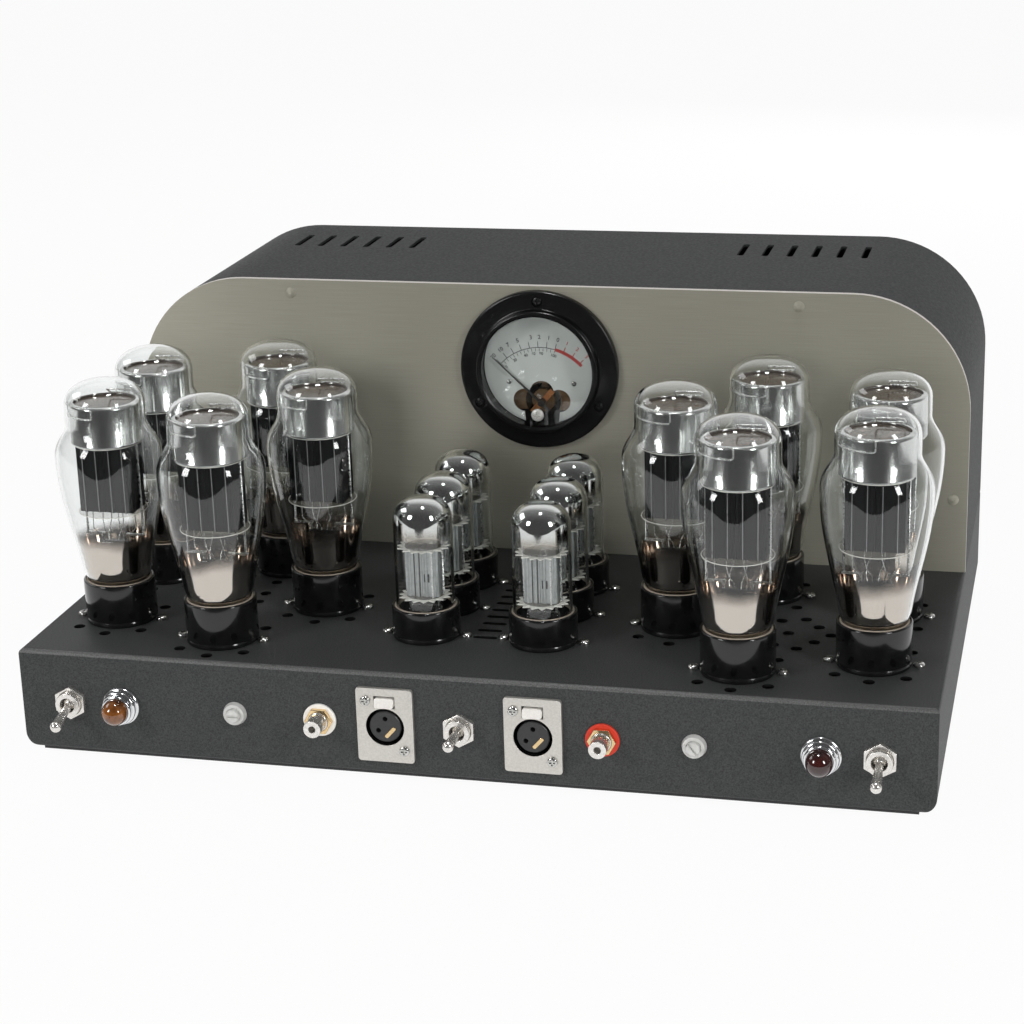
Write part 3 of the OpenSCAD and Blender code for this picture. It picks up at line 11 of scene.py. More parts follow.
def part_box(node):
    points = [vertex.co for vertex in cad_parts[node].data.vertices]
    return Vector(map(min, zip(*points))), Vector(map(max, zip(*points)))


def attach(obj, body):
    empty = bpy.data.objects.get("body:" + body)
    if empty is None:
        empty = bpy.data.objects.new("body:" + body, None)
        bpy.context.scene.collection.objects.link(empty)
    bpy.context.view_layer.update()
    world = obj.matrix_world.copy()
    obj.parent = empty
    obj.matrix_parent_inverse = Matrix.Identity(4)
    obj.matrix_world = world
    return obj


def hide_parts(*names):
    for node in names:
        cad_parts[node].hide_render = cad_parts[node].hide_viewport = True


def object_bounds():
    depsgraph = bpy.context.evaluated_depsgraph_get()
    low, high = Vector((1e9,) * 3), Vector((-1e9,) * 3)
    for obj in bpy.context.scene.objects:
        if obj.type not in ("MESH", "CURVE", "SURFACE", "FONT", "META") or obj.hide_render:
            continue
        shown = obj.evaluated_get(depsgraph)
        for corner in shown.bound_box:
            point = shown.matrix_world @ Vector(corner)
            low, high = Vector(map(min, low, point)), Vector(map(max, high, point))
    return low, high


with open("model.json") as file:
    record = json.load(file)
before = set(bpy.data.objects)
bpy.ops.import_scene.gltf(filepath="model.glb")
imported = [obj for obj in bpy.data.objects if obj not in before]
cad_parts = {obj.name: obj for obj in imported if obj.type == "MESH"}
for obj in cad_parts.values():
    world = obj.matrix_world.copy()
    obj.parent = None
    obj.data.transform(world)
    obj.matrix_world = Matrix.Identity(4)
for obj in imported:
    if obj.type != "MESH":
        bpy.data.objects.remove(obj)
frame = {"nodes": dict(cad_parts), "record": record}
cad_low, cad_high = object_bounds()
nodes = frame["nodes"]

# Studio: a seamless pale floor under large soft lamps, as for a catalogue picture.
# The camera stands to the right of the amplifier and looks down on it through a long lens.
scene = bpy.context.scene
scene.view_settings.view_transform = "Standard"
eye = Vector((0.27294, -1.12207, 0.46768))
yaw, pitch, roll = -0.2486, 0.3203, -0.0306
forward = Vector((math.sin(yaw) * math.cos(pitch), math.cos(yaw) * math.cos(pitch), -math.sin(pitch)))
level = Vector((math.cos(yaw), -math.sin(yaw), 0.0))
upright = level.cross(forward)
right = math.cos(roll) * level + math.sin(roll) * upright
upward = math.cos(roll) * upright - math.sin(roll) * level
camera_data = bpy.data.cameras.new("camera")
camera_data.lens = 83.8
camera_data.sensor_width = 36.0


def linked(name, data):
    """A new object in the scene."""
    made = bpy.data.objects.new(name, data)
    scene.collection.objects.link(made)
    return made


camera = linked("camera", camera_data)
camera.matrix_world = Matrix.Translation(eye) @ Matrix((right, upward, -forward)).transposed().to_4x4()
scene.camera = camera


def soft_lamp(name, place, aim, size, watts):
    """A rectangular soft lamp that faces the point aim."""
    data = bpy.data.lights.new(name, "AREA")
    data.shape = "RECTANGLE"
    data.size, data.size_y = size
    data.energy = watts
    lamp = linked(name, data)
    lamp.location = place
    lamp.rotation_euler = (Vector(aim) - Vector(place)).to_track_quat("-Z", "Y").to_euler()
    return lamp


middle = (cad_low + cad_high) / 2
soft_lamp("key_lamp", (-1.05, -1.25, 0.85), middle, (0.36, 0.55), 9.5)
soft_lamp("fill_lamp", (1.25, -0.95, 0.75), middle, (0.26, 0.60), 9.0)
front_lamp = soft_lamp("front_lamp", (0.15, -1.55, 0.36), middle, (1.10, 0.40), 8.5)
rear_lamp = soft_lamp("rear_lamp", (0.30, 1.70, 0.50), middle, (1.10, 0.40), 9.0)
for lamp in (front_lamp, rear_lamp):
    lamp.visible_glossy = False
    lamp.visible_transmission = False
top_lamp = soft_lamp("top_lamp", (0.0, -0.05, 1.60), middle, (0.16, 0.16), 11.0)
top_lamp.visible_diffuse = False
soft_lamp("side_lamp", (-1.35, 0.10, 1.00), middle, (0.80, 0.50), 3.5)

world = bpy.data.worlds.new("studio")
scene.world = world
world.use_nodes = True
tree = world.node_tree
tree.nodes.clear()


def feed(node, inputs):
    """Gives each named input of a node a value or the output of another node."""
    for name, value in inputs.items():
        if isinstance(value, bpy.types.NodeSocket):
            node.id_data.links.new(value, node.inputs[name])
        else:
            node.inputs[name].default_value = value


def outputs_of(tree, kind, inputs=None, **settings):
    """Outputs of a new node with these settings and inputs."""
    node = tree.nodes.new(kind)
    for name, value in settings.items():
        setattr(node, name, value)
    feed(node, inputs or {})
    return node.outputs


def combined(tree, operation, *values):
    """Output of a math node on sockets and numbers."""
    return outputs_of(tree, "ShaderNodeMath", dict(enumerate(values)), operation=operation)[0]


# The backdrop is white where it is seen past the amplifier or through its glass.
# Metal and glass show the backdrop behind the amplifier too. In front of it is a dim room.
rays = outputs_of(tree, "ShaderNodeLightPath")
direction = outputs_of(tree, "ShaderNodeTexCoord")["Generated"]
backward = outputs_of(tree, "ShaderNodeSeparateXYZ", {0: direction})["Y"]
bounces = combined(tree, "ADD", rays["Glossy Depth"], rays["Diffuse Depth"])
straight = combined(tree, "LESS_THAN", bounces, 0.5)
through = combined(tree, "MULTIPLY", rays["Is Transmission Ray"], straight)
behind = outputs_of(tree, "ShaderNodeMapRange", {
    "Value": backward, "From Min": 0.35, "From Max": 0.80,
}, interpolation_type="SMOOTHSTEP")[0]
mirrored = combined(tree, "MAXIMUM", rays["Is Glossy Ray"], rays["Is Transmission Ray"])
shown = combined(tree, "MULTIPLY", mirrored, behind)
white = combined(tree, "MAXIMUM", rays["Is Camera Ray"], through)
white = combined(tree, "MAXIMUM", white, shown)
room = outputs_of(tree, "ShaderNodeMapRange", {
    "Value": backward, "From Min": -0.8, "From Max": 0.9, "To Min": 0.075, "To Max": 0.30,
}, interpolation_type="SMOOTHSTEP")[0]
strength = outputs_of(tree, "ShaderNodeMix", {"Factor": white, "A": room, "B": 1.0})["Result"]
background = outputs_of(tree, "ShaderNodeBackground", {"Color": (1.0, 1.0, 1.0, 1.0), "Strength": strength})
outputs_of(tree, "ShaderNodeOutputWorld", {"Surface": background[0]})


def principled(name):
    """A new material, its node tree and its main shader."""
    material = bpy.data.materials.new(name)
    material.use_nodes = True
    return material, material.node_tree, material.node_tree.nodes["Principled BSDF"]


def mixed(tree, share, first, second):
    """Ends a material's tree in a mix of two shaders, by the share of the second."""
    mix = outputs_of(tree, "ShaderNodeMixShader", {"Fac": share, 1: first, 2: second})
    feed(tree.nodes["Material Output"], {"Surface": mix[0]})


floor_front, floor_reach = -0.47, 6.0
floor_mesh = bpy.data.meshes.new("floor")
floor_mesh.from_pydata(
    [
        (-floor_reach, floor_front, 0), (floor_reach, floor_front, 0),
        (floor_reach, floor_reach, 0), (-floor_reach, floor_reach, 0),
    ],
    [], [(0, 1, 2, 3)],
)
floor = linked("floor", floor_mesh)
floor_paint, floor_tree, floor_shader = principled("floor_paint")
feed(floor_shader, {"Base Color": (0.90, 0.90, 0.90, 1.0), "Roughness": 0.9, "Specular IOR Level": 0.1})
floor_glow = outputs_of(floor_tree, "ShaderNodeEmission", {"Strength": 1.0})
floor_rays = outputs_of(floor_tree, "ShaderNodeLightPath")
floor_shown = combined(floor_tree, "MAXIMUM", floor_rays["Is Glossy Ray"], floor_rays["Is Transmission Ray"])
floor_shown = combined(floor_tree, "MAXIMUM", floor_rays["Is Camera Ray"], floor_shown)
floor_white = combined(floor_tree, "MULTIPLY", floor_shown, 0.95)
mixed(floor_tree, floor_white, floor_shader.outputs[0], floor_glow[0])
floor_mesh.materials.append(floor_paint)


# Chassis: one folded steel sheet, punched and then powder coated in a fine dark grey texture.
# The CAD sheet keeps its shape. The walls of its deck holes carry a painted shade, near black, and the front
# fold a painted highlight, a lighter coat.
MM = 0.001


def socketed(group, inputs, outputs):
    """Gives a node group its sockets. Returns what comes in and the node that hands on its results."""
    for way, kinds in (("INPUT", inputs), ("OUTPUT", outputs)):
        for name, kind in kinds.items():
            group.interface.new_socket(name, in_out=way, socket_type="NodeSocket" + kind)
    return group.nodes.new("NodeGroupInput").outputs, group.nodes.new("NodeGroupOutput")


def grain_group():
    """Shader group: two mixed colours, a roughness and a height that all follow one stretched noise."""
    group = bpy.data.node_groups.new("fine_grain", "ShaderNodeTree")
    enter, leave = socketed(group, {
        "Colour": "Color", "Fleck": "Color", "Scale": "Float", "Stretch": "Vector",
        "Low Roughness": "Float", "High Roughness": "Float",
    }, {"Colour": "Color", "Roughness": "Float", "Height": "Float"})
    place = outputs_of(group, "ShaderNodeTexCoord")["Object"]
    stretched = outputs_of(group, "ShaderNodeVectorMath", {
        0: place, 1: enter["Stretch"],
    }, operation="MULTIPLY")[0]
    noise = outputs_of(group, "ShaderNodeTexNoise", {
        "Vector": stretched, "Scale": enter["Scale"], "Detail": 3.0,
    })[0]
    sharp = outputs_of(group, "ShaderNodeMapRange", {"Value": noise, "From Min": 0.32, "From Max": 0.68})[0]
    colour = outputs_of(group, "ShaderNodeMix", {
        "Factor": sharp, 6: enter["Colour"], 7: enter["Fleck"],
    }, data_type="RGBA")[2]
    rough = outputs_of(group, "ShaderNodeMapRange", {
        "Value": sharp, "To Min": enter["Low Roughness"], "To Max": enter["High Roughness"],
    })[0]
    feed(leave, {"Colour": colour, "Roughness": rough, "Height": sharp})
    return group


fine_grain = grain_group()


def grained(
    name, colour, fleck, scale, rough,
    stretch=(1.0, 1.0, 1.0), relief=0.0, metallic=0.0, coat=0.0, shine=0.5,
):
    """A finish whose colour, roughness and relief follow the fine grain; relief is in millimetres."""
    material, tree, shader = principled(name)
    grain = outputs_of(tree, "ShaderNodeGroup", {
        "Colour": (*colour, 1.0), "Fleck": (*fleck, 1.0), "Scale": scale, "Stretch": stretch,
        "Low Roughness": rough[0], "High Roughness": rough[1],
    }, node_tree=fine_grain)
    feed(shader, {
        "Base Color": grain["Colour"], "Roughness": grain["Roughness"], "Metallic": metallic,
        "Coat Weight": coat, "Coat Roughness": 0.08, "Specular IOR Level": shine,
    })
    if relief:
        bump = outputs_of(tree, "ShaderNodeBump", {
            "Strength": 0.6, "Distance": relief * MM, "Height": grain["Height"],
        })
        feed(shader, {"Normal": bump[0]})
    return material


def smoothed(mesh, smooth_below):
    """Makes a mesh smooth except over edges sharper than this angle in degrees."""
    mesh.shade_smooth()
    mesh.set_sharp_from_angle(angle=math.radians(smooth_below))
    return mesh


def shaded(build, smooth_below=40):
    """Turns a bmesh into a smoothed mesh."""
    mesh = bpy.data.meshes.new("shape")
    build.to_mesh(mesh)
    build.free()
    return smoothed(mesh, smooth_below)


def baked(carrier):
    """Replaces an object's modifiers by the plain mesh that they make."""
    graph = bpy.context.evaluated_depsgraph_get()
    solved = carrier.evaluated_get(graph)
    mesh = bpy.data.meshes.new_from_object(solved, preserve_all_data_layers=True, depsgraph=graph)
    carrier.modifiers.clear()
    carrier.data = mesh
    return carrier


def fitted(piece, slot, *stands_for, body="amplifier"):
    """Fixes a finished piece to its body and lets it stand for its CAD nodes. Its slot is not used."""
    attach(piece, body)
    if stands_for:
        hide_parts(*stands_for)
    return piece


slot_of = {part["node"]: part["material_slot"] for part in frame["record"]["subparts"]}
body_of = {node: body for body, members in frame["record"]["behaviour"]["bodies"].items() for node in members}


def broken_edges(piece, edge, smooth_below=35):
    """Breaks a piece's sharp edges by edge millimetres."""
    bevel = piece.modifiers.new("edge", "BEVEL")
    bevel.width = edge * MM
    bevel.segments = 2
    bevel.limit_method = "ANGLE"
    bevel.angle_limit = math.radians(smooth_below)
    bevel.harden_normals = True
    return baked(piece)


def dressed(node, finish, edge=0.0, smooth_below=35):
    """A CAD node's own shape with merged faces, smooth curves and edges broken by edge millimetres."""
    build = bmesh.new()
    build.from_mesh(nodes[node].data)
    bmesh.ops.remove_doubles(build, verts=build.verts, dist=1e-6)
    bmesh.ops.dissolve_limit(build, angle_limit=math.radians(0.4), verts=build.verts, edges=build.edges)
    piece = linked(node + "_dressed", shaded(build, smooth_below))
    if edge:
        broken_edges(piece, edge, smooth_below)
    piece.data.materials.clear()
    piece.data.materials.append(finish)
    return fitted(piece, slot_of[node], node, body=body_of[node])


def part_finish(piece, finish, chosen):
    """Gives a finish of their own to the faces that chosen picks by their centre and normal."""
    piece.data.materials.append(finish)
    for face in piece.data.polygons:
        if chosen(face.center, face.normal):
            face.material_index = len(piece.data.materials) - 1


powder_coat = grained(
    "powder_coat", (0.062, 0.0645, 0.064), (0.031, 0.033, 0.033), 1700.0, (0.42, 0.64), relief=0.07, shine=0.2
)
chassis = dressed("chassis", powder_coat)
chassis_low, chassis_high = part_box("chassis")
front_y, rear_y, deck_z = chassis_low.y, chassis_high.y, chassis_high.z
# Painted shade: a near-black colour on the walls of holes and bores, standing in for the shade inside them.
punched_dark = grained(
    "punched_dark", (0.004, 0.004, 0.004), (0.007, 0.007, 0.007), 900.0, (0.6, 0.7), shine=0.1
)
# Painted highlight: a lighter coat on the rounded front fold stands in for the light that the fold catches.
fold_light = grained(
    "fold_light", (0.125, 0.128, 0.124), (0.050, 0.052, 0.050), 1700.0, (0.36, 0.55), relief=0.07
)
sheet_t, fold_margin = 2.5 * MM, 6 * MM


def in_deck_hole(centre, normal):
    """Walls of the holes that are punched in the deck."""
    across = abs(centre.x) < chassis_high.x - fold_margin
    along = front_y + fold_margin < centre.y < rear_y - fold_margin
    return across and along and centre.z > deck_z - sheet_t and abs(normal.z) < 0.5


def on_front_fold(centre, normal):
    """Rounded fold between the deck and the front panel."""
    return centre.y < front_y + fold_margin and normal.y < -0.2 and normal.z > 0.2


part_finish(chassis, punched_dark, in_deck_hole)
part_finish(chassis, fold_light, on_front_fold)


# Underside: a black steel plate closes the chassis, on four moulded rubber feet.
# Plated pan screws hold the plate, the feet and, from inside the chassis, the hood.
dressed("bottom_plate", grained(
    "black_steel", (0.012, 0.012, 0.013), (0.020, 0.020, 0.021), 900.0, (0.45, 0.6), relief=0.04
))
dressed("rubber_feet", grained(
    "foot_rubber", (0.014, 0.014, 0.014), (0.022, 0.021, 0.021), 700.0, (0.7, 0.85), relief=0.05
))
plated_steel = grained(
    "plated_steel", (0.66, 0.66, 0.64), (0.52, 0.52, 0.50), 600.0, (0.16, 0.30), metallic=1.0
)
dressed("cover_screws", plated_steel)


# Tube sockets: dark moulded phenolic under the deck, each held by two plated pan screws from above.
# The screws have a low crowned head with a crossed recess, and stand beside every tube.
dressed("tube_sockets", grained(
    "socket_phenolic", (0.030, 0.022, 0.016), (0.045, 0.033, 0.024), 400.0, (0.4, 0.55)
))
ring_x, ring_y, ring_r, ring_count = 140 * MM, 80 * MM, 53 * MM, 5
driver_x, driver_y, driver_pitch, driver_count = 28.5 * MM, 51 * MM, 37 * MM, 3
power_sites = [
    Vector((
        side * ring_x - side * ring_r * math.cos(2 * math.pi * k / ring_count),
        front_y + ring_y + ring_r * math.sin(2 * math.pi * k / ring_count),
        deck_z,
    ))
    for side in (-1, 1)
    for k in range(ring_count)
]
driver_sites = [
    Vector((side * driver_x, front_y + driver_y + k * driver_pitch, deck_z))
    for side in (-1, 1)
    for k in range(driver_count)
]


def turned(profile, steps=48, closed=False, smooth_below=40):
    """Mesh of (radius, height) points in millimetres turned about Z. A closed profile makes a hollow wall."""
    build = bmesh.new()
    rings = []
    for radius, rise in profile:
        spots = [0.0] if radius < 1e-6 else [2 * math.pi * k / steps for k in range(steps)]
        rings.append([
            build.verts.new((radius * math.cos(a) * MM, radius * math.sin(a) * MM, rise * MM)) for a in spots
        ])
    pairs = list(zip(rings, rings[1:])) + ([(rings[-1], rings[0])] if closed else [])
    for low, high in pairs:
        if len(low) == len(high) == 1:
            continue
        for k in range(steps):
            n = (k + 1) % steps
            corners = [low[k % len(low)], low[n % len(low)], high[n % len(high)], high[k % len(high)]]
            build.faces.new(list(dict.fromkeys(corners)))
    bmesh.ops.recalc_face_normals(build, faces=build.faces)
    return shaded(build, smooth_below)


def real_copies(tree, points, instance, turn, finish):
    """Geometry Nodes: real copies of an instance on points, turned alike, in one finish."""
    copies = outputs_of(tree, "GeometryNodeInstanceOnPoints", {
        "Points": points, "Instance": instance, "Rotation": turn,
    })
    real = outputs_of(tree, "GeometryNodeRealizeInstances", {0: copies[0]})
    return outputs_of(tree, "GeometryNodeSetMaterial", {"Geometry": real[0], "Material": finish})[0]


def site_tree():
    """Geometry Nodes: one copy of Piece on every site, leaning by Lean, in one finish."""
    made = bpy.data.node_groups.new("set_on_sites", "GeometryNodeTree")
    enter, leave = socketed(made, {
        "Sites": "Geometry", "Piece": "Object", "Lean": "Vector", "Finish": "Material",
    }, {"Placed": "Geometry"})
    source = outputs_of(made, "GeometryNodeObjectInfo", {"Object": enter["Piece"]})["Geometry"]
    copies = real_copies(made, enter["Sites"], source, enter["Lean"], enter["Finish"])
    feed(leave, {"Placed": copies})
    return made


set_on_sites = site_tree()


def grown(carrier, group, values):
    """Runs a Geometry Nodes group on an object with these values and keeps the mesh that it makes."""
    modifier = carrier.modifiers.new("nodes", "NODES")
    modifier.node_group = group
    for socket in group.interface.items_tree:
        if socket.in_out == "INPUT" and socket.name in values:
            modifier[socket.identifier] = values[socket.name]
    return baked(carrier)


def repeated(name, shape, sites, finish, lean=(0.0, 0.0, 0.0)):
    """One object with a copy of shape on every site."""
    pattern = linked(name + "_pattern", shape)
    points = bpy.data.meshes.new(name)
    points.from_pydata([tuple(p) for p in sites], [], [])
    carrier = linked(name, points)
    grown(carrier, set_on_sites, {"Piece": pattern, "Lean": lean, "Finish": finish})
    bpy.data.objects.remove(pattern)
    return carrier


def placed(name, shape, sites, finish, slot, *stands_for, lean=(0.0, 0.0, 0.0), body="amplifier"):
    """A repeated shape that is a finished piece as it is."""
    return fitted(repeated(name, shape, sites, finish, lean), slot, *stands_for, body=body)


def prism(outline, low, high):
    """Mesh of a flat outline of (x, y) points raised from low to high, in millimetres."""
    build = bmesh.new()
    floor_face = build.faces.new([build.verts.new((x * MM, y * MM, low * MM)) for x, y in outline])
    raised = bmesh.ops.extrude_face_region(build, geom=[floor_face])["geom"]
    lifted = [v for v in raised if isinstance(v, bmesh.types.BMVert)]
    bmesh.ops.translate(build, vec=(0, 0, (high - low) * MM), verts=lifted)
    bmesh.ops.recalc_face_normals(build, faces=build.faces)
    return shaded(build)


def carved(shape, cutter, smooth_below=40):
    """The mesh that is left of shape when cutter is taken out of it."""
    body, tool = linked("carved", shape), linked("cutter", cutter)
    difference = body.modifiers.new("difference", "BOOLEAN")
    difference.operation = "DIFFERENCE"
    difference.solver = "EXACT"
    difference.object = tool
    mesh = baked(body).data
    bpy.data.objects.remove(body)
    bpy.data.objects.remove(tool)
    return smoothed(mesh, smooth_below)


def pan_head(head, rise, shank, reach, recess):
    """Pan-head screw with a crossed recess, its head standing on z = 0, in millimetres."""
    turns = [k * math.pi / 2 / 6 for k in range(7)]
    crown = [(head / 2 * math.cos(a) ** 0.6, rise * (0.25 + 0.75 * math.sin(a))) for a in turns]
    stem = [(0, -reach), (shank / 2, -reach), (shank / 2, 0), (head / 2, 0)]
    screw = turned([*stem, *crown[:-1], (0, rise)], 20)
    arm = recess * 0.13
    half = recess / 2
    cross = [
        (arm, arm), (arm, half), (-arm, half), (-arm, arm), (-half, arm), (-half, -arm),
        (-arm, -arm), (-arm, -half), (arm, -half), (arm, -arm), (half, -arm), (half, arm),
    ]
    return carved(screw, prism(cross, rise * 0.45, rise * 2))


screw_head = 5.6
power_base_d, driver_base_d = 34.5, 32.4
screw_gap = 0.3
screw_sites = [
    site + Vector((side * ((base + screw_head) / 2 + screw_gap) * MM, 0, 0))
    for sites, base in ((power_sites, power_base_d), (driver_sites, driver_base_d))
    for site in sites
    for side in (-1, 1)
]
socket_screw = pan_head(head=screw_head, rise=2.0, shank=3.0, reach=7.5, recess=3.0)
placed("socket_screws_turned", socket_screw, screw_sites, plated_steel, "screw_steel", "socket_screws")


# Power tubes: a black moulded base, a bulged glass envelope, and inside it two blackened anode boxes
# between mica discs and a silver shield. The lower bulb carries a mirror of getter metal.
base_black = grained(
    "base_black", (0.0035, 0.0035, 0.004), (0.007, 0.007, 0.007), 260.0, (0.10, 0.2), coat=0.25
)
base_h, base_wall, base_floor = 21.5, 1.5, 3.0
base_key, base_key_l = 7.8, 12.0


def arc(x, y, radius, start, end, parts):
    """Points on an arc about (x, y), with its ends in quarter turns."""
    turns = [(start + (end - start) * k / parts) * math.pi / 2 for k in range(parts + 1)]
    return [(x + radius * math.cos(a), y + radius * math.sin(a)) for a in turns]


def base_cup(across, tall):
    """Moulded cup with a rounded foot and rim and its locating post, as one turned shape."""
    outer, inner = across / 2, across / 2 - base_wall
    bead = base_wall / 2
    rim = arc(outer - bead, tall - bead, bead, 0, 2, 8)
    key_r = base_key / 2
    post = [(0, -base_key_l), (key_r - 0.6, -base_key_l), (key_r, -base_key_l + 0.6), (key_r, 0)]
    foot = [
        (outer - 0.9, 0), (outer - 0.3, 0.25), (outer, 0.9),
        (outer, 2.2), (outer - 0.25, 2.5), (outer - 0.25, 3.0),
    ]
    return turned([*post, *foot, (outer, 3.3), *rim, (inner, base_floor), (0, base_floor)], 72)


placed(
    "power_base_cups", base_cup(power_base_d, base_h), power_sites, base_black,
    "base_phenolic", "power_tube_bases",
)
cement_tan = grained("base_cement", (0.40, 0.34, 0.27), (0.30, 0.25, 0.20), 900.0, (0.5, 0.7), relief=0.03)
glass_foot_r = 14.9


def cement_ring(across, tall, inner):
    """Bead of cement between a base's rim and its glass, which has the radius inner."""
    outer = across / 2 - base_wall - 0.02
    return turned([
        (inner, tall - 1.6), (outer, tall - 1.6), (outer, tall - 0.25), ((inner + outer) / 2, tall + 0.15),
        (inner, tall - 0.1),
    ], 72, closed=True, smooth_below=60)


power_ring = cement_ring(power_base_d, base_h, glass_foot_r + 0.02)
placed("power_cement", power_ring, power_sites, cement_tan, "base_phenolic")
pin_brass = grained("pin_brass", (0.70, 0.55, 0.28), (0.58, 0.44, 0.20), 500.0, (0.22, 0.35), metallic=1.0)
dressed("tube_pins", pin_brass)
anode_black = grained(
    "anode_black", (0.004, 0.004, 0.0045), (0.005, 0.005, 0.0055), 900.0, (0.54, 0.58), shine=0.12
)
dressed("power_tube_plates", anode_black)
plates_w, plates_d, plates_low, plates_top = 27.0, 18.0, 56.8, 89.7
rib_xs = [side * (plates_w / 4 + part * plates_w / 8) for side in (-1, 1) for part in (-1, 1)]
rib_sites = [
    site + Vector((x * MM, face * plates_d / 2 * MM, plates_low * MM))
    for site in power_sites
    for x in rib_xs
    for face in (-1, 1)
]
# Painted highlight: thin grey rods along the rib edges of the black anodes stand in for the glints that run
# down them.
rib_steel = grained("rib_steel", (0.34, 0.34, 0.34), (0.24, 0.24, 0.24), 700.0, (0.25, 0.4), metallic=0.6)


def disc(radius, low, high):
    """Profile of a plain turned disc or rod."""
    return [(0, low), (radius, low), (radius, high), (0, high)]


rib = turned(disc(radius=0.22, low=0, high=plates_top - plates_low), 10)
placed("anode_ribs", rib, rib_sites, rib_steel, "plate_carbon")

mica_clear = grained("mica_clear", (0.52, 0.47, 0.40), (0.42, 0.38, 0.32), 200.0, (0.2, 0.35))
feed(mica_clear.node_tree.nodes["Principled BSDF"], {"Alpha": 0.22})
mica_white = grained("mica_white", (0.82, 0.79, 0.74), (0.70, 0.67, 0.62), 500.0, (0.4, 0.55))
mica_r, mica_t = 16.5, 0.3
mica_heights = (56.2, 89.9)
mica_sites = [site + Vector((0, 0, high * MM)) for site in power_sites for high in mica_heights]
placed("power_micas", turned(disc(mica_r, 0, mica_t), 56), mica_sites, mica_clear, "mica", "tube_micas")


def ring_points(x, y, radius, count):
    """Points spaced evenly on a circle."""
    return arc(x, y, radius, 0, 4, count)[:-1]


mica_bead = ring_points(mica_r - 0.1, mica_t / 2, 0.2, 8)
placed("power_mica_edges", turned(mica_bead, 56, closed=True), mica_sites, mica_white, "mica")
drawn_nickel = grained(
    "drawn_nickel", (0.72, 0.72, 0.71), (0.56, 0.56, 0.55), 800.0, (0.2, 0.35), metallic=1.0
)
dressed("tube_support_wires", drawn_nickel)

shield_silver = grained(
    "shield_silver", (0.70, 0.70, 0.69), (0.58, 0.58, 0.575), 160.0, (0.12, 0.22),
    stretch=(1.0, 1.0, 0.06), relief=0.004, metallic=1.0,
)
shield_low, shield_top, shield_r, shield_t, shield_edge = 90.5, 110.5, 17.0, 0.6, 1.4


def rounded_step(radius, height, corner, parts=6):
    """Rounded outer edge of a turned step that ends at this height."""
    return arc(radius - corner, height - corner, corner, 0, 1, parts)


shield_profile = [
    (shield_r - shield_t, shield_low), (shield_r, shield_low), (shield_r + 0.25, shield_low + 0.3),
    (shield_r + 0.25, shield_low + 0.9), (shield_r, shield_low + 1.2),
    *rounded_step(shield_r, shield_top, shield_edge, 5),
    (shield_r - 2.2, shield_top), (shield_r - 2.2, shield_top - shield_t),
    (shield_r - shield_edge, shield_top - shield_t), (shield_r - shield_t, shield_top - shield_edge),
]
placed(
    "power_shields", turned(shield_profile, 56, closed=True), power_sites, shield_silver,
    "shield_silver", "power_tube_shields",
)


def from_curve(curve):
    """The mesh of a curve or of a line of type."""
    carrier = linked(curve.name, curve)
    graph = bpy.context.evaluated_depsgraph_get()
    shape = bpy.data.meshes.new_from_object(carrier.evaluated_get(graph))
    bpy.data.objects.remove(carrier)
    return shape


def wires(paths, across, closed=False):
    """Mesh of round wires, each along a list of points in millimetres."""
    drawn = bpy.data.curves.new("wires", "CURVE")
    drawn.dimensions = "3D"
    drawn.bevel_depth = across / 2 * MM
    drawn.bevel_resolution = 2
    drawn.use_fill_caps = not closed
    for points in paths:
        line = drawn.splines.new("POLY")
        line.points.add(len(points) - 1)
        for knot, (x, y, z) in zip(line.points, points):
            knot.co = (x * MM, y * MM, z * MM, 1.0)
        line.use_cyclic_u = closed
    shape = from_curve(drawn)
    shape.shade_smooth()
    return shape


def soft_box(wide, deep, corner, parts=5):
    """Outline of a rectangle about the middle with round corners."""
    x, y = wide / 2 - corner, deep / 2 - corner
    return [
        point
        for quarter, middle in enumerate(((x, y), (-x, y), (-x, -y), (x, -y)))
        for point in arc(*middle, corner, quarter, quarter + 1, parts)
    ]


def soft_bar(wide, deep, corner, parts=12):
    """The same outline with points along its long sides too, so that it can be bent."""
    outline = soft_box(wide, deep, corner)
    step = (wide - 2 * corner) / parts
    upper = [(wide / 2 - corner - k * step, deep / 2) for k in range(1, parts)]
    lower = [(corner - wide / 2 + k * step, -deep / 2) for k in range(1, parts)]
    return [*outline[:6], *upper, *outline[6:18], *lower, *outline[18:]]


loop_x, loop_y, loop_w, loop_d, loop_low, loop_lean = 4.5, 10.0, 13.0, 5.0, 111.2, -0.58
rear_path = [
    (loop_x + x, loop_y + y, loop_low + loop_lean * (y - loop_d / 2))
    for x, y in soft_box(loop_w, loop_d, 1.2)
]
rear_loop = wires([rear_path], 0.8, closed=True)
placed("getter_loops_rear", rear_loop, power_sites, drawn_nickel, "lead_nickel")
hang_r, hang_turn, hang_w, hang_h, hang_top = 17.7, math.radians(236), 22.0, 5.6, 110.9
front_path = []
for x, y in soft_bar(hang_w, hang_h, 1.2):
    a = hang_turn + x / hang_r
    front_path.append((hang_r * math.cos(a), hang_r * math.sin(a), hang_top - hang_h / 2 + y))
front_loop = wires([front_path], 0.7, closed=True)
placed("getter_loops_front", front_loop, power_sites, drawn_nickel, "lead_nickel")
lead_paths = [
    [
        (x, 0, 39.6), (x * 1.2, 1.2 * bow, 43.0), (x * 1.5 + bow, 2.6 * bow, 46.5),
        (x * 1.4 + 2 * bow, 1.5 * bow, 51.0), (x * 1.4 + 2 * bow, 1.0 * bow, 56.1),
    ]
    for x, bow in ((-6.0, -1.0), (-3.6, 1.4), (-1.2, -1.6), (1.4, 1.0), (3.8, -1.2), (6.2, 0.8))
]
placed("power_leads", wires(lead_paths, 0.5), power_sites, drawn_nickel, "lead_nickel")

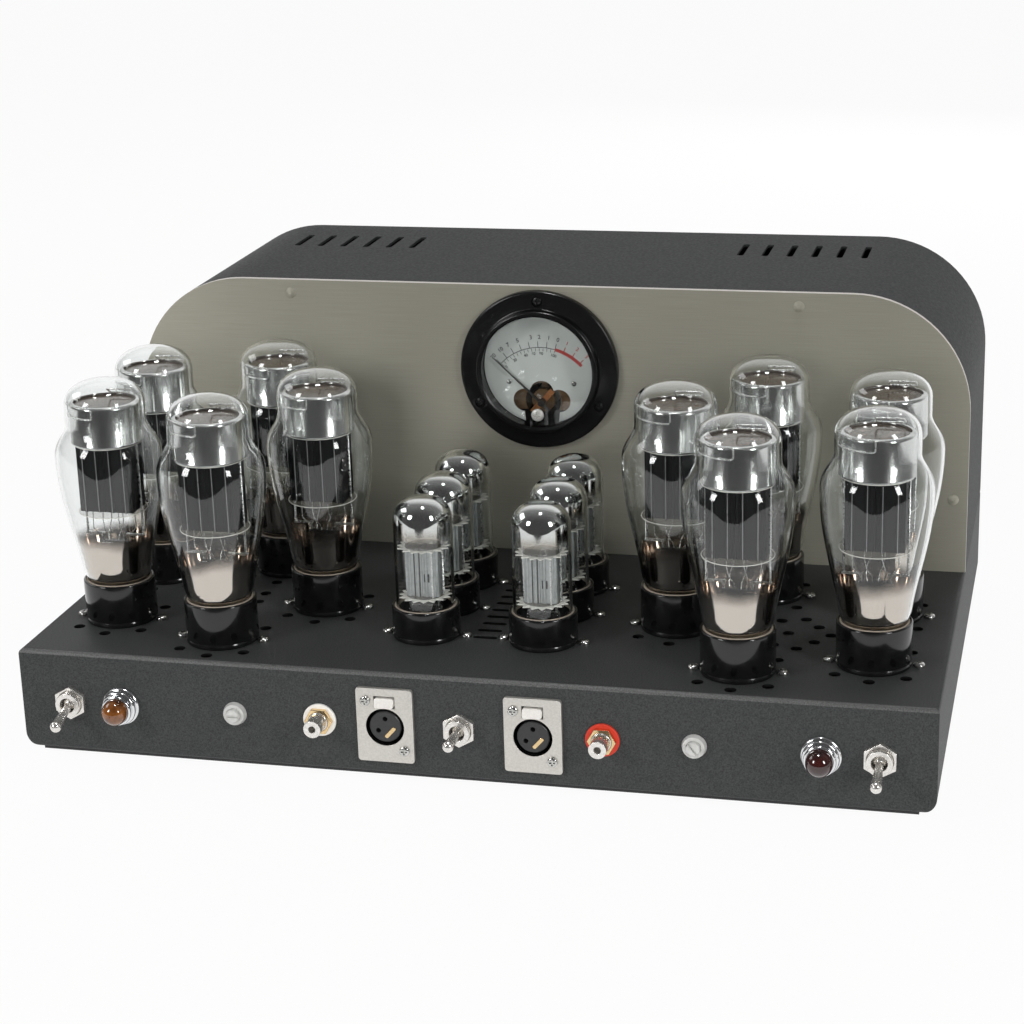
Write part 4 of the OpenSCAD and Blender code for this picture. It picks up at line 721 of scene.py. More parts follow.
cap_mica = grained("cap_mica", (0.20, 0.145, 0.11), (0.13, 0.095, 0.075), 160.0, (0.12, 0.25), coat=0.3)
cap_low = shield_top - shield_t - 0.6
shield_cap = turned(disc(shield_r - 1.0, cap_low - 0.4, cap_low), 48)
placed("shield_caps", shield_cap, power_sites, cap_mica, "mica")


def clear_glass(name, tint):
    """Polished glass that lets the lamps' light through to what it covers."""
    material, tree, shader = principled(name)
    place = outputs_of(tree, "ShaderNodeTexCoord")["Object"]
    smear = outputs_of(tree, "ShaderNodeTexNoise", {"Vector": place, "Scale": 40.0})[0]
    rough = outputs_of(tree, "ShaderNodeMapRange", {"Value": smear, "To Min": 0.0, "To Max": 0.03})[0]
    colour = (*tint, 1.0)
    feed(shader, {"Base Color": colour, "Transmission Weight": 1.0, "IOR": 1.47, "Roughness": rough})
    open_way = outputs_of(tree, "ShaderNodeBsdfTransparent", {"Color": colour})
    rays = outputs_of(tree, "ShaderNodeLightPath")
    passed = combined(tree, "MAXIMUM", rays["Is Shadow Ray"], rays["Is Diffuse Ray"])
    mixed(tree, passed, shader.outputs[0], open_way[0])
    return material


tube_glass = clear_glass("tube_glass", (0.96, 0.975, 0.97))
neck_r, bulb_r, dome_r = 16.5, 25.5, 19.3
belly_h, shoulder_h, dome_h, tube_h = 83.0, 100.0, 108.0, 120.5
glass_t, fit_gap, tuck_h = 1.0, 0.1, 7.0


def eased(t):
    """Slow start and slow end between 0 and 1."""
    return (1 - math.cos(math.pi * t)) / 2


def dome(radius, low, top, parts=16):
    """Closing dome from radius at height low to the axis at height top."""
    return [
        (radius * math.cos(k * math.pi / 2 / parts) ** 0.83 if k < parts else 0.0,
         low + (top - low) * math.sin(k * math.pi / 2 / parts) ** 0.83)
        for k in range(parts + 1)
    ]


def bulb(inset):
    """Outline of the bulb: tucked in at the base, an eased swell, an eased shoulder and a flat dome."""
    swell = []
    for k in range(36):
        rise = (belly_h - base_h) * k / 36
        tuck = (neck_r - glass_foot_r) * max(0.0, 1 - rise / tuck_h) ** 2
        out = neck_r + (bulb_r - neck_r) * eased((k / 36) ** 0.85) - tuck
        swell.append((out - inset, base_h + fit_gap + rise))
    shoulder = [
        (bulb_r - (bulb_r - dome_r) * eased((k / 14) ** 1.3) - inset,
         belly_h + (shoulder_h - belly_h) * k / 14)
        for k in range(14)
    ]
    return [*swell, *shoulder, (dome_r - inset, shoulder_h), *dome(dome_r - inset, dome_h, tube_h - inset)]


envelope = [
    (glass_foot_r - glass_t, base_floor), (glass_foot_r, base_floor), *bulb(0), *reversed(bulb(glass_t)),
]
placed(
    "power_bulbs", turned(envelope, 64, closed=True, smooth_below=50), power_sites, tube_glass,
    "tube_glass", "power_tube_envelopes",
)


def getter_film(name, colour, edge, full, tint, uneven, patch):
    """Mirror of getter metal inside the glass. It thins out, and turns to its tint, from height full
    to height edge, which wanders by uneven millimetres in patches."""
    material, tree, shader = principled(name)
    place = outputs_of(tree, "ShaderNodeTexCoord")["Object"]
    drift = outputs_of(tree, "ShaderNodeTexNoise", {"Vector": place, "Scale": patch})[0]
    height = outputs_of(tree, "ShaderNodeSeparateXYZ", {0: place})["Z"]
    thin = outputs_of(tree, "ShaderNodeMapRange", {
        "Value": combined(tree, "MULTIPLY_ADD", drift, uneven * MM, height),
        "From Min": deck_z + (edge + uneven / 2) * MM, "From Max": deck_z + (full + uneven / 2) * MM,
    }, interpolation_type="SMOOTHSTEP")[0]
    hue = outputs_of(tree, "ShaderNodeMix", {
        "Factor": thin, 6: (*tint, 1.0), 7: (*colour, 1.0),
    }, data_type="RGBA")[2]
    rough = outputs_of(tree, "ShaderNodeMapRange", {"Value": thin, "To Min": 0.16, "To Max": 0.05})[0]
    feed(shader, {"Base Color": hue, "Roughness": rough, "Metallic": 1.0, "Alpha": thin})
    return material


film_gap, film_t, film_top = 0.12, 0.08, 56.0
film_side = [p for p in bulb(glass_t + film_gap) if p[1] <= film_top]
film_back = [(r - film_t, h) for r, h in reversed(film_side)]
power_film = getter_film(
    "power_getter", (0.61, 0.54, 0.485), edge=45.0, full=36.5,
    tint=(0.35, 0.285, 0.235), uneven=14.0, patch=30.0,
)
power_mirror = turned([*film_side, *film_back], 64, closed=True)
placed("power_getter_films", power_mirror, power_sites, power_film, "tube_glass")


# Glass feet: each tube stands on a flared foot, drawn up into the flat press that grips the leads.
# The feet are plain clear glass, and the bases hide the lower part of them.
def glass_foot(wide, press_top):
    """Flared foot and pressed head in one mesh, from the base's floor up to press_top."""
    foot_l, press_w, press_d = 3.0, 16.0, 5.0
    cone_l = (press_top - base_floor - foot_l) * 0.6
    low = base_floor + foot_l
    throat = wide * 0.7
    flare = [(throat + (press_d / 2 - throat) * (k / 8) ** 0.6, low + cone_l * k / 8) for k in range(9)]
    build = bmesh.new()
    build.from_mesh(turned([(0, base_floor), (wide, base_floor), (wide, low), *flare, (0, low + cone_l)], 40))
    head = bmesh.ops.create_cube(build, size=1.0)["verts"]
    head_low = low + cone_l / 2
    size = Matrix.Diagonal((press_w * MM, press_d * MM, (press_top - head_low) * MM, 1.0))
    lift = Matrix.Translation((0, 0, (press_top + head_low) / 2 * MM))
    bmesh.ops.transform(build, matrix=lift @ size, verts=head)
    edges = [e for e in build.edges if all(v in head for v in e.verts)]
    bmesh.ops.bevel(build, geom=edges, offset=1.2 * MM, segments=3, profile=0.5, affect="EDGES")
    return shaded(build, 50)


foot_glass = clear_glass("foot_glass", (0.94, 0.96, 0.955))
driver_glass_r = 14.0
for name, glass_r, press_top, sites in (
    ("power_feet", glass_foot_r, 40.0, power_sites),
    ("driver_feet", driver_glass_r, 15.0, driver_sites),
):
    foot = glass_foot(glass_r - glass_t - 0.3, press_top)
    placed(name, foot, sites, foot_glass, "tube_glass", "tube_stems")


# Driver tubes: a smaller black base, a straight glass cylinder with a silvered dome, and inside it
# two grey anode boxes held between serrated micas.
driver_base_h, driver_h = 16.0, 69.0
placed(
    "driver_base_cups", base_cup(driver_base_d, driver_base_h), driver_sites, base_black,
    "base_phenolic", "driver_tube_bases",
)
driver_ring = cement_ring(driver_base_d, driver_base_h, driver_glass_r + 0.05)
placed("driver_cement", driver_ring, driver_sites, cement_tan, "base_phenolic")
dressed("driver_tube_plates", grained(
    "anode_grey", (0.44, 0.46, 0.46), (0.36, 0.375, 0.375), 400.0, (0.35, 0.5), relief=0.01, metallic=0.6
))


def on_plates(name, wide, low, high, x, out, finish, slot):
    """An upright strip on the front of every driver tube's plates, in millimetres from its middle."""
    strip = prism([(-wide / 2, -0.1), (wide / 2, -0.1), (wide / 2, 0.1), (-wide / 2, 0.1)], low, high)
    sites = [site + Vector((x * MM, -out * MM, 0)) for site in driver_sites]
    placed(name, strip, sites, finish, slot)


driver_low, driver_top, driver_front = 20.8, 44.5, 4.45
# Painted shade: black strips on the grey plates stand in for the shade in the gap between the two boxes and
# in a small window; a thin black seam line runs beside the gap.
on_plates("driver_gap", 1.5, driver_low, driver_top, -1.6, driver_front, anode_black, "plate_grey")
on_plates("driver_seam", 0.5, driver_low, driver_top, -3.6, driver_front, anode_black, "plate_grey")
on_plates("driver_window", 2.6, 28.0, 32.0, 2.2, driver_front, anode_black, "plate_grey")
on_plates("driver_front_rod", 0.7, driver_low, driver_top, 5.4, 6.4, drawn_nickel, "lead_nickel")
tooth_out, tooth_in, tooth_count = 12.6, 9.9, 16
serrated = [
    ((tooth_out if k % 2 else tooth_in) * math.cos(math.pi * k / tooth_count),
     (tooth_out if k % 2 else tooth_in) * math.sin(math.pi * k / tooth_count))
    for k in range(2 * tooth_count)
]
driver_mica_sites = [site + Vector((0, 0, high * MM)) for site in driver_sites for high in (20.2, 44.6)]
mica_gap_r = 9.0
toothed_ring = carved(prism(serrated, 0, 0.5), prism(ring_points(0, 0, mica_gap_r, 40), -1, 2))
placed("driver_micas", toothed_ring, driver_mica_sites, mica_white, "mica", "tube_micas")
inner_mica = turned(disc(mica_gap_r, 0.1, 0.4), 40)
placed("driver_mica_middles", inner_mica, driver_mica_sites, mica_clear, "mica")
driver_dome_low = driver_h - 12.0
cylinder_glass = [
    (driver_glass_r - glass_t, base_floor), (driver_glass_r, base_floor),
    *dome(driver_glass_r, driver_dome_low, driver_h),
    *reversed(dome(driver_glass_r - glass_t, driver_dome_low, driver_h - glass_t)),
]
driver_bulb = turned(cylinder_glass, 64, closed=True, smooth_below=50)
placed("driver_bulbs", driver_bulb, driver_sites, tube_glass, "tube_glass", "driver_tube_envelopes")
film_r, film_low = driver_glass_r - glass_t - film_gap, 46.0
cap_side = [(film_r, film_low), *dome(film_r, driver_dome_low, driver_h - glass_t - film_gap)]
cap_back = [
    *reversed(dome(film_r - film_t, driver_dome_low, driver_h - glass_t - film_gap - film_t)),
    (film_r - film_t, film_low),
]
driver_film = getter_film(
    "driver_getter", (0.66, 0.66, 0.65), edge=48.0, full=57.0,
    tint=(0.55, 0.47, 0.38), uneven=8.0, patch=45.0,
)
driver_mirror = turned([*cap_side, *cap_back], 64, closed=True)
placed("driver_getter_films", driver_mirror, driver_sites, driver_film, "tube_glass")


# Inside the hood and the deck: two laminated transformers with taped coils, sleeved filter capacitors
# and a circuit board on pillars. They are closed in, and carry plain working finishes.
dressed("transformer_cores", grained(
    "core_laminations", (0.045, 0.047, 0.050), (0.085, 0.086, 0.088), 900.0, (0.4, 0.6),
    stretch=(0.05, 1.0, 0.05),
), edge=0.6)
dressed("transformer_coils", grained(
    "coil_tape", (0.30, 0.13, 0.05), (0.22, 0.09, 0.035), 300.0, (0.3, 0.45), stretch=(1.0, 1.0, 0.2)
), edge=2.0)
dressed("filter_capacitors", grained(
    "capacitor_sleeve", (0.016, 0.030, 0.070), (0.024, 0.040, 0.085), 200.0, (0.25, 0.35)
), edge=0.6)
dressed("circuit_board", grained(
    "solder_resist", (0.030, 0.10, 0.045), (0.022, 0.075, 0.034), 250.0, (0.3, 0.45)
))


# Hood: a sheet bent over both upper corners and closed behind, satin powder coated, with vent slots.
# It is screwed to the deck from below.
dressed("hood", grained(
    "satin_coat", (0.043, 0.045, 0.0455), (0.036, 0.038, 0.0385), 700.0, (0.46, 0.58),
    relief=0.015, shine=0.06,
))


# Faceplate: a flat aluminium plate, brushed along its width and anodised, with broken edges in a lighter bare
# metal that also carries a painted highlight.
# Four low screws hold it to the hood's front flange.
brushed_plate = grained(
    "brushed_plate", (0.385, 0.371, 0.305), (0.350, 0.337, 0.277), 4200.0, (0.50, 0.58),
    stretch=(0.008, 1.0, 1.0), relief=0.006, metallic=0.5,
)
brushed_shader = brushed_plate.node_tree.nodes["Principled BSDF"]
feed(brushed_shader, {"Anisotropic": 0.85, "Anisotropic Rotation": 0.25})
plate = dressed("faceplate", brushed_plate, edge=0.5)
# The edges and hole walls are painted lighter than the face: partly the bare cut metal, partly a painted
# highlight along the edges.
cut_edge = grained("cut_edge", (0.74, 0.69, 0.65), (0.64, 0.60, 0.56), 2500.0, (0.35, 0.5), metallic=0.35)
part_finish(plate, cut_edge, lambda centre, normal: abs(normal.y) < 0.95)
dressed("faceplate_screws", brushed_plate)


# Panel meter: a black moulded case with a raised rim, three sunk black screws and a flat glass.
# Under the glass are a printed dial and a needle on a copper coil. A pale zero screw stands below them.
meter_black = grained(
    "meter_black", (0.0045, 0.0045, 0.005), (0.0065, 0.0065, 0.0065), 900.0, (0.21, 0.23), shine=0.35
)
dressed("meter_glass", clear_glass("meter_pane", (0.97, 0.98, 0.98)))
dressed("meter_movement", grained(
    "movement_bronze", (0.20, 0.115, 0.055), (0.12, 0.07, 0.035), 350.0, (0.35, 0.5), metallic=0.8
), edge=0.4)
dressed("meter_coil", grained(
    "coil_copper", (0.60, 0.26, 0.11), (0.42, 0.16, 0.06), 2500.0, (0.25, 0.4),
    stretch=(1.0, 0.1, 1.0), relief=0.05, metallic=0.9,
), edge=0.3)
dressed("meter_needle", grained(
    "needle_black", (0.012, 0.010, 0.009), (0.02, 0.018, 0.016), 600.0, (0.35, 0.5)
))

plate_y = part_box("faceplate")[0].y
meter_low, meter_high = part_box("meter_case")
facing_front = Matrix.Rotation(math.pi / 2, 4, "X")
meter_frame = Matrix.Translation((0, plate_y, (meter_low.z + meter_high.z) / 2)) @ facing_front
pivot_y = -18.3
dial_face, dial_back, dial_r = -3.0, -3.8, 29.8


def in_frame(name, shape, place, finish):
    """One object from a shape put in its place, with its finish."""
    shape.transform(place)
    shape.materials.clear()
    shape.materials.append(finish)
    return linked(name, shape)


case_r, flange_t, rim_r, rim_h, window_r, case_depth = 41.0, 4.0, 31.7, 9.0, 28.8, 36.0
bore_r, bore_top, case_wall = 30.1, 7.6, 1.6
case_profile = [
    (0, -case_depth), (rim_r, -case_depth), (rim_r, 0), (case_r, 0), *rounded_step(case_r, flange_t, 1.4),
    (rim_r + 0.9, flange_t), (rim_r + 0.3, flange_t + 0.25), (rim_r, flange_t + 0.9),
    *rounded_step(rim_r, rim_h, 1.3), (window_r + 0.7, rim_h), (window_r, rim_h - 0.5), (window_r, bore_top),
    (bore_r, bore_top), (bore_r, case_wall - case_depth), (0, case_wall - case_depth),
]
case_shape = turned(case_profile, 128, smooth_below=35)
meter_screw_turns = [math.radians(a) for a in (90, 210, 330)]
meter_screw_r, well_r, well_depth = 35.8, 2.8, 1.6
for a in meter_screw_turns:
    well = ring_points(meter_screw_r * math.cos(a), meter_screw_r * math.sin(a), well_r, 32)
    case_shape = carved(case_shape, prism(well, flange_t - well_depth, flange_t + 2), 35)
fitted(in_frame("meter_housing", case_shape, meter_frame, meter_black), "meter_black", "meter_case")
well_floor = flange_t - well_depth + 0.02
meter_screw_sites = [
    meter_frame @ (Vector((meter_screw_r * math.cos(a), meter_screw_r * math.sin(a), well_floor)) * MM)
    for a in meter_screw_turns
]
black_screw = grained(
    "black_screw", (0.05, 0.05, 0.052), (0.03, 0.03, 0.031), 600.0, (0.2, 0.35), metallic=0.8
)
upright_face = (math.pi / 2, 0, 0)
meter_screw = pan_head(head=5.0, rise=1.4, shank=2.9, reach=8.0, recess=2.8)
placed(
    "meter_screw_heads", meter_screw, meter_screw_sites, black_screw,
    "screw_steel", "meter_screws", lean=upright_face,
)

zero_low, zero_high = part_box("meter_zero_screw")
zero_rise = 1.6
zero_spot = Vector((0, zero_low.y + zero_rise * MM, (zero_low.z + zero_high.z) / 2))
zero_white = grained("zero_white", (0.62, 0.61, 0.58), (0.52, 0.51, 0.49), 500.0, (0.25, 0.4), metallic=0.3)
zero_screw = pan_head(head=6.6, rise=zero_rise, shank=3.8, reach=3.6, recess=3.8)
placed(
    "zero_screw_head", zero_screw, [zero_spot], zero_white,
    slot_of["meter_zero_screw"], "meter_zero_screw", lean=upright_face, body="zero_screw",
)

dial_paint = grained("dial_paint", (0.51, 0.53, 0.505), (0.47, 0.49, 0.465), 90.0, (0.45, 0.55))
dial_plate = prism(ring_points(0, 0, dial_r, 96), dial_back, dial_face)
dial_windows = [
    ring_points(0.0, -13.5, 6.4, 40), ring_points(-9.0, -17.5, 6.0, 40), ring_points(9.0, -17.5, 6.0, 40),
    [(-10, -17), (10, -17), (8.5, -31), (-8.5, -31)],
]
for outline in dial_windows:
    dial_plate = carved(dial_plate, prism(outline, dial_back - 1, dial_face + 1))
fitted(in_frame("dial_plate", dial_plate, meter_frame, dial_paint), "dial_face", "meter_dial")


def tick_tree():
    """Geometry Nodes: Count upright bars on an arc of Radius, spread evenly over Sweep about the Y axis."""
    made = bpy.data.node_groups.new("dial_ticks", "GeometryNodeTree")
    enter, leave = socketed(made, {
        "Geometry": "Geometry", "Count": "Int", "Radius": "Float", "Middle": "Float", "Sweep": "Float",
        "Size": "Vector", "Ink": "Material",
    }, {"Ticks": "Geometry"})
    line = outputs_of(made, "GeometryNodeMeshLine", {"Count": enter["Count"]})[0]
    index = outputs_of(made, "GeometryNodeInputIndex")[0]
    share = combined(made, "DIVIDE", index, combined(made, "SUBTRACT", enter["Count"], 1.0))
    spread = combined(made, "MULTIPLY", combined(made, "SUBTRACT", share, 0.5), enter["Sweep"])
    turn = combined(made, "ADD", spread, enter["Middle"])
    spot = outputs_of(made, "ShaderNodeCombineXYZ", {
        "X": combined(made, "MULTIPLY", combined(made, "SINE", turn), enter["Radius"]),
        "Y": combined(made, "MULTIPLY", combined(made, "COSINE", turn), enter["Radius"]),
    })[0]
    put = outputs_of(made, "GeometryNodeSetPosition", {"Geometry": line, "Position": spot})[0]
    bar = outputs_of(made, "GeometryNodeMeshCube", {"Size": enter["Size"]})[0]
    lean = outputs_of(made, "ShaderNodeCombineXYZ", {"Z": combined(made, "MULTIPLY", turn, -1.0)})[0]
    feed(leave, {"Ticks": real_copies(made, put, bar, lean, enter["Ink"])})
    return made


dial_ticks = tick_tree()
dial_ink = grained("dial_ink", (0.055, 0.056, 0.056), (0.085, 0.085, 0.085), 900.0, (0.5, 0.6))
dial_red = grained("dial_red", (0.42, 0.045, 0.040), (0.34, 0.04, 0.035), 900.0, (0.5, 0.6))
ink_t = 0.04


def printed(name, shape, ink):
    """Ink on the dial: a thin flat shape about the needle's pivot."""
    lift = Matrix.Translation((0, pivot_y * MM, dial_face * MM))
    return fitted(in_frame(name, shape, meter_frame @ lift, ink), "dial_face")


def ticks(name, count, radius, middle, sweep, wide, tall, ink):
    """A printed row of ticks on an arc, with angles in degrees right of upright."""
    carrier = linked(name, bpy.data.meshes.new(name))
    shape = grown(carrier, dial_ticks, {
        "Count": count, "Radius": radius * MM, "Middle": math.radians(middle), "Sweep": math.radians(sweep),
        "Size": (wide * MM, tall * MM, ink_t * MM), "Ink": ink,
    }).data
    bpy.data.objects.remove(carrier)
    printed(name, shape, ink)


def arc_band(inner, outer, start, end, parts=40):
    """Outline of a band between two radii, with angles in degrees right of upright."""
    turns = [math.radians(start + (end - start) * k / parts) for k in range(parts + 1)]
    return [(outer * math.sin(a), outer * math.cos(a)) for a in turns] + [
        (inner * math.sin(a), inner * math.cos(a)) for a in reversed(turns)
    ]


arc_r = 28.6
red_start, scale_end = 15.0, 47.0
printed("scale_arc", prism(arc_band(arc_r, arc_r + 0.4, -scale_end, red_start), 0, ink_t), dial_ink)
printed("scale_red_arc", prism(arc_band(arc_r - 0.6, arc_r + 1.1, red_start, scale_end), 0, ink_t), dial_red)
ticks("scale_ticks_upper", 8, arc_r + 1.8, -16.0, 62.0, 0.36, 3.2, dial_ink)
ticks("scale_ticks_red", 3, arc_r + 2.0, 34.0, 20.0, 0.45, 2.6, dial_red)
ticks("scale_ticks_lower", 16, arc_r - 1.0, -16.0, 62.0, 0.30, 1.5, dial_ink)


def numeral(name, words, size, radius, turn, ink):
    """A plain number on the dial, upright on its radius."""
    letters = bpy.data.curves.new(name, "FONT")
    letters.body = words
    letters.size = size * MM
    letters.align_x, letters.align_y = "CENTER", "CENTER"
    letters.offset = 0.06 * MM
    letters.extrude = ink_t / 2 * MM
    shape = from_curve(letters)
    a = math.radians(turn)
    spot = Matrix.Translation((radius * math.sin(a) * MM, radius * math.cos(a) * MM, ink_t / 2 * MM))
    shape.transform(spot @ Matrix.Rotation(-a, 4, "Z"))
    printed(name, shape, ink)


upper_r, lower_r = 34.2, 25.6
for scale, size, radius, ink, marks in (
    ("upper", 3.0, upper_r, dial_ink, (
        ("20", -47), ("10", -38), ("7", -30), ("5", -20.6), ("3", -8.4), ("2", -1), ("1", 7.4), ("0", 15.5),
    )),
    ("red", 2.8, upper_r, dial_red, (("1", 24), ("2", 34), ("3", 44))),
    ("lower", 2.1, lower_r, dial_ink, (
        ("0", -45), ("20", -32), ("40", -17.8), ("60", -8.5), ("80", 0.5), ("100", 15),
    )),
):
    for words, turn in marks:
        numeral(f"{scale}_{words}", words, size, radius, turn, ink)
dial_screw_sites = [meter_frame @ Vector((side * 17.0 * MM, -8.0 * MM, dial_face * MM)) for side in (-1, 1)]
dial_screw = pan_head(head=2.6, rise=0.8, shank=1.2, reach=0.8, recess=1.5)
placed("dial_screws", dial_screw, dial_screw_sites, plated_steel, "screw_steel", lean=upright_face)


# Toggle switches: a nickel bushing through the front panel, a hexagon nut and a turned bat lever.
# The outer two levers point down, the one in the middle stands straight out.
bright_nickel = grained(
    "bright_nickel", (0.85, 0.825, 0.785), (0.74, 0.715, 0.68), 900.0, (0.16, 0.28),
    relief=0.01, metallic=0.85,
)
dressed("switch_bodies", bright_nickel, edge=0.25)
dressed("switch_nuts", bright_nickel, edge=0.3)
for place in ("left", "centre", "right"):
    dressed(f"toggle_lever_{place}", bright_nickel, smooth_below=60)


# Indicator lamps: chromed stepped bezels pushed through the panel, with moulded jewel lenses.
# The left one is amber and the right one is dark red.
mirror_chrome = grained(
    "mirror_chrome", (0.80, 0.81, 0.82), (0.74, 0.75, 0.76), 400.0, (0.10, 0.16), metallic=1.0
)
panel_z = 31.3 * MM
lamp_x, lens_r, bezel_h, lamp_depth = 165.2, 6.15, 8.0, 24.0
barrel_r, flange_r = 7.35, 9.35


def front_frame(x):
    """Frame on the front panel: X to the right, Y up and Z out of the panel."""
    return Matrix.Translation((x * MM, front_y, panel_z)) @ facing_front


def both_sides(x, across=0.0, up=0.0):
    """Sites on the front panel at x left and right of the middle, moved by these millimetres."""
    return [front_frame(side * x) @ Vector((across * MM, up * MM, 0)) for side in (-1, 1)]


bezel_profile = [
    (0, -lamp_depth), (barrel_r, -lamp_depth), (barrel_r, 0), (flange_r, 0),
    *rounded_step(flange_r, 2.6, 1.3), (8.1, 2.6), *rounded_step(8.4, 5.2, 1.2), (7.0, 5.2),
    *rounded_step(barrel_r, bezel_h, 0.9),
    (lens_r + 0.15, bezel_h), (lens_r + 0.15, 3.0), (0, 3.0),
]
bezel_sites = both_sides(lamp_x)
bezel = turned(bezel_profile, 64, smooth_below=50)
placed("bezel_rings", bezel, bezel_sites, mirror_chrome, "lamp_chrome", "lamp_bezels", lean=upright_face)


def jewel(name, deep, lit):
    """A coloured moulded lens under a clear gloss, with cloudy depth in its colour."""
    return grained(name, deep, lit, 170.0, (0.05, 0.1), coat=1.0)


dressed("amber_lens", jewel("amber_jewel", (0.050, 0.012, 0.002), (0.27, 0.090, 0.014)), smooth_below=60)
dressed("red_lens", jewel("red_jewel", (0.016, 0.003, 0.003), (0.050, 0.007, 0.006)), smooth_below=60)


# Screwdriver adjusters: moulded grey nylon collars round slotted shafts.
# Both snap into the front panel.
nylon_grey = grained("nylon_grey", (0.62, 0.62, 0.60), (0.54, 0.54, 0.52), 500.0, (0.35, 0.5), relief=0.01)
dressed("adjuster_collars", nylon_grey, edge=0.3)
dressed("adjuster_shaft_left", nylon_grey, edge=0.2)
dressed("adjuster_shaft_right", nylon_grey, edge=0.2)


# Phono jacks: turned nickel collars with a centre hole, clamped by gold hexagon nuts.
# Fibre washers tell the channels apart, white on the left and red on the right.
bright_gold = grained(
    "bright_gold", (0.84, 0.63, 0.36), (0.74, 0.54, 0.29), 900.0, (0.14, 0.26), relief=0.01, metallic=1.0
)
dressed("phono_jacks", bright_nickel, edge=0.5)
dressed("phono_nuts", bright_gold, edge=0.3)
dressed("phono_washer_white", grained(
    "white_fibre", (0.93, 0.91, 0.88), (0.88, 0.86, 0.82), 500.0, (0.4, 0.55)
), edge=0.2)
dressed("phono_washer_red", grained(
    "red_fibre", (0.66, 0.045, 0.020), (0.58, 0.035, 0.016), 500.0, (0.35, 0.5)
), edge=0.2)


# Balanced sockets: cast satin nickel flanges with black inserts, gold contacts and a sprung push tab.
# The tab's face slopes, and two pan screws hold each socket to the panel.
satin_nickel = grained(
    "satin_nickel", (0.68, 0.655, 0.61), (0.60, 0.58, 0.54), 1200.0, (0.30, 0.44), relief=0.012, metallic=0.7
)
flange_x, flange_w, flange_h, flange_face, flange_corner = 34.9, 27.0, 36.3, 2.2, 1.6
bore_drop, bore_r, shell_wall, shell_depth = 0.8, 9.1, 1.6, 22.0
latch_middle, latch_w, latch_h, latch_in, latch_out, latch_slope = 11.3, 9.4, 4.6, 8.0, 4.1, 0.35
slot_w, slot_low, slot_high = 10.0, 8.7, 14.4
flange = prism(soft_box(flange_w, flange_h, flange_corner), 0, flange_face)
flange = carved(flange, prism(ring_points(0, -bore_drop, bore_r, 64), -1, flange_face + 1))
latch_slot = [
    (-slot_w / 2, slot_low), (slot_w / 2, slot_low), (slot_w / 2, slot_high), (-slot_w / 2, slot_high),
]
flange = carved(flange, prism(latch_slot, -1, flange_face + 1))
flange_sites = both_sides(flange_x)
flanges = broken_edges(repeated("shell_flanges", flange, flange_sites, satin_nickel, upright_face), 0.4)
fitted(flanges, slot_of["balanced_shells"], "balanced_shells")
bore_z = panel_z - bore_drop * MM


def in_bore(centre, normal):
    """Wall of the round opening of a flange."""
    off_axis = math.hypot(abs(centre.x) - flange_x * MM, centre.z - bore_z)
    return off_axis < (bore_r + 0.1) * MM and abs(normal.y) < 0.2


# The walls of the flange bores get the same painted shade.
part_finish(flanges, punched_dark, in_bore)
bore_sites = both_sides(flange_x, up=-bore_drop)
barrel_r_out = bore_r + shell_wall
barrel_profile = [(bore_r, -shell_depth), (barrel_r_out, -shell_depth), (barrel_r_out, 0), (bore_r, 0)]
barrel = turned(barrel_profile, 64, closed=True)
barrel = carved(barrel, prism([(x, y + bore_drop) for x, y in latch_slot], -shell_depth - 1, 1))
# The barrels behind the bores are painted all over in that near-black shade.
placed("shell_barrels", barrel, bore_sites, punched_dark, slot_of["balanced_shells"], lean=upright_face)

insert_black = grained(
    "insert_black", (0.024, 0.024, 0.025), (0.032, 0.032, 0.033), 700.0, (0.32, 0.45), relief=0.01
)
insert_r, insert_face, insert_disc, contact_r, contact_bore = 7.6, 1.6, 2.0, 3.9, 1.2
insert = turned([
    (0, -shell_depth), (bore_r - 0.1, -shell_depth), (bore_r - 0.1, insert_disc - shell_depth),
    (insert_r, insert_disc - shell_depth), (insert_r, insert_face - 0.4), (insert_r - 0.4, insert_face),
    (0, insert_face),
], 64)
for a in (math.radians(90), math.radians(210)):
    hole = ring_points(contact_r * math.cos(a), contact_r * math.sin(a), contact_bore, 24)
    insert = carved(insert, prism(hole, -10, insert_face + 1))
placed(
    "insert_plugs", insert, bore_sites, insert_black,
    slot_of["balanced_inserts"], "balanced_inserts", lean=upright_face,
)
# Painted shade: the contact sleeves deep in the insert's holes are painted near black, as the shade in the
# holes.
dressed("balanced_contacts", grained(
    "sleeve_dark", (0.030, 0.020, 0.010), (0.018, 0.012, 0.006), 700.0, (0.3, 0.45), metallic=0.6
), smooth_below=60)
blade = prism(soft_box(7.0, 2.0, 0.9), insert_face - 1.2, insert_face + 0.3)
blade.transform(Matrix.Rotation(math.radians(48), 4, "Z"))
blade_sites = both_sides(flange_x, across=2.3, up=-2.7 - bore_drop)
blades = repeated("contact_blades", blade, blade_sites, bright_gold, upright_face)
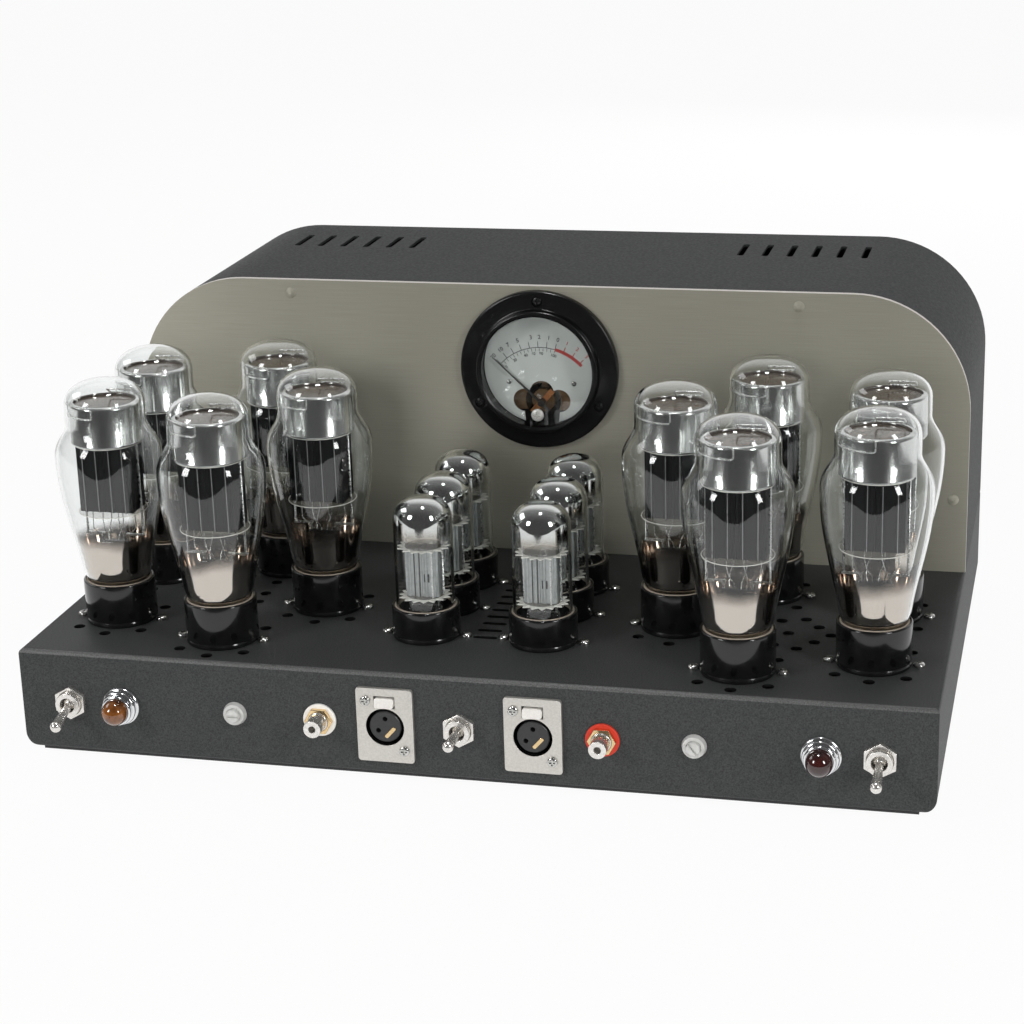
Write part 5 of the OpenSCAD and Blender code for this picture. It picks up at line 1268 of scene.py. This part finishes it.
fitted(broken_edges(blades, 0.3), "contact_gold")
flange_screw_x, flange_screw_y = 8.9, 11.95
flange_screw_spots = [
    Vector((end * flange_screw_x * MM, -end * flange_screw_y * MM, flange_face * MM)) for end in (-1, 1)
]
flange_screw_sites = [
    front_frame(side * flange_x) @ spot for side in (-1, 1) for spot in flange_screw_spots
]
flange_screw = pan_head(head=5.0, rise=1.5, shank=2.8, reach=8.0, recess=3.0)
placed(
    "flange_screws", flange_screw, flange_screw_sites, plated_steel,
    "screw_steel", "balanced_screws", lean=upright_face,
)
tab_nickel = grained(
    "tab_nickel", (0.92, 0.89, 0.84), (0.84, 0.81, 0.77), 1200.0, (0.30, 0.40), metallic=0.25
)
for place, side in (("left", -1), ("right", 1)):
    tab = prism([(x, y + latch_middle) for x, y in soft_box(latch_w, latch_h, 1.3)], -latch_in, latch_out)
    for corner in tab.vertices:
        if corner.co.z > 0:
            corner.co.z -= latch_slope * (corner.co.y - (latch_middle - latch_h / 2) * MM)
    piece = in_frame(f"latch_{place}", tab, front_frame(side * flange_x), tab_nickel)
    node = f"latch_tab_{place}"
    fitted(broken_edges(piece, 0.5), slot_of[node], node, body=f"{place}_latch")


# Rear panel: a moulded mains inlet with a fuse drawer, and two pairs of gold speaker posts.
# Their caps are moulded in red and black.
inlet_black = grained(
    "inlet_black", (0.012, 0.012, 0.013), (0.020, 0.020, 0.020), 500.0, (0.35, 0.5), relief=0.01
)
dressed("mains_inlet", inlet_black, edge=0.3)
dressed("fuse_drawer", inlet_black, edge=0.2)
dressed("post_studs", bright_gold, edge=0.2)
cap_red = grained("cap_red", (0.42, 0.018, 0.016), (0.36, 0.014, 0.013), 400.0, (0.2, 0.3), coat=0.3)
cap_black = grained("cap_black", (0.014, 0.014, 0.015), (0.022, 0.022, 0.022), 400.0, (0.2, 0.3), coat=0.3)
for side in ("left", "right"):
    dressed(f"post_cap_{side}_red", cap_red, edge=0.4)
    dressed(f"post_cap_{side}_black", cap_black, edge=0.4)
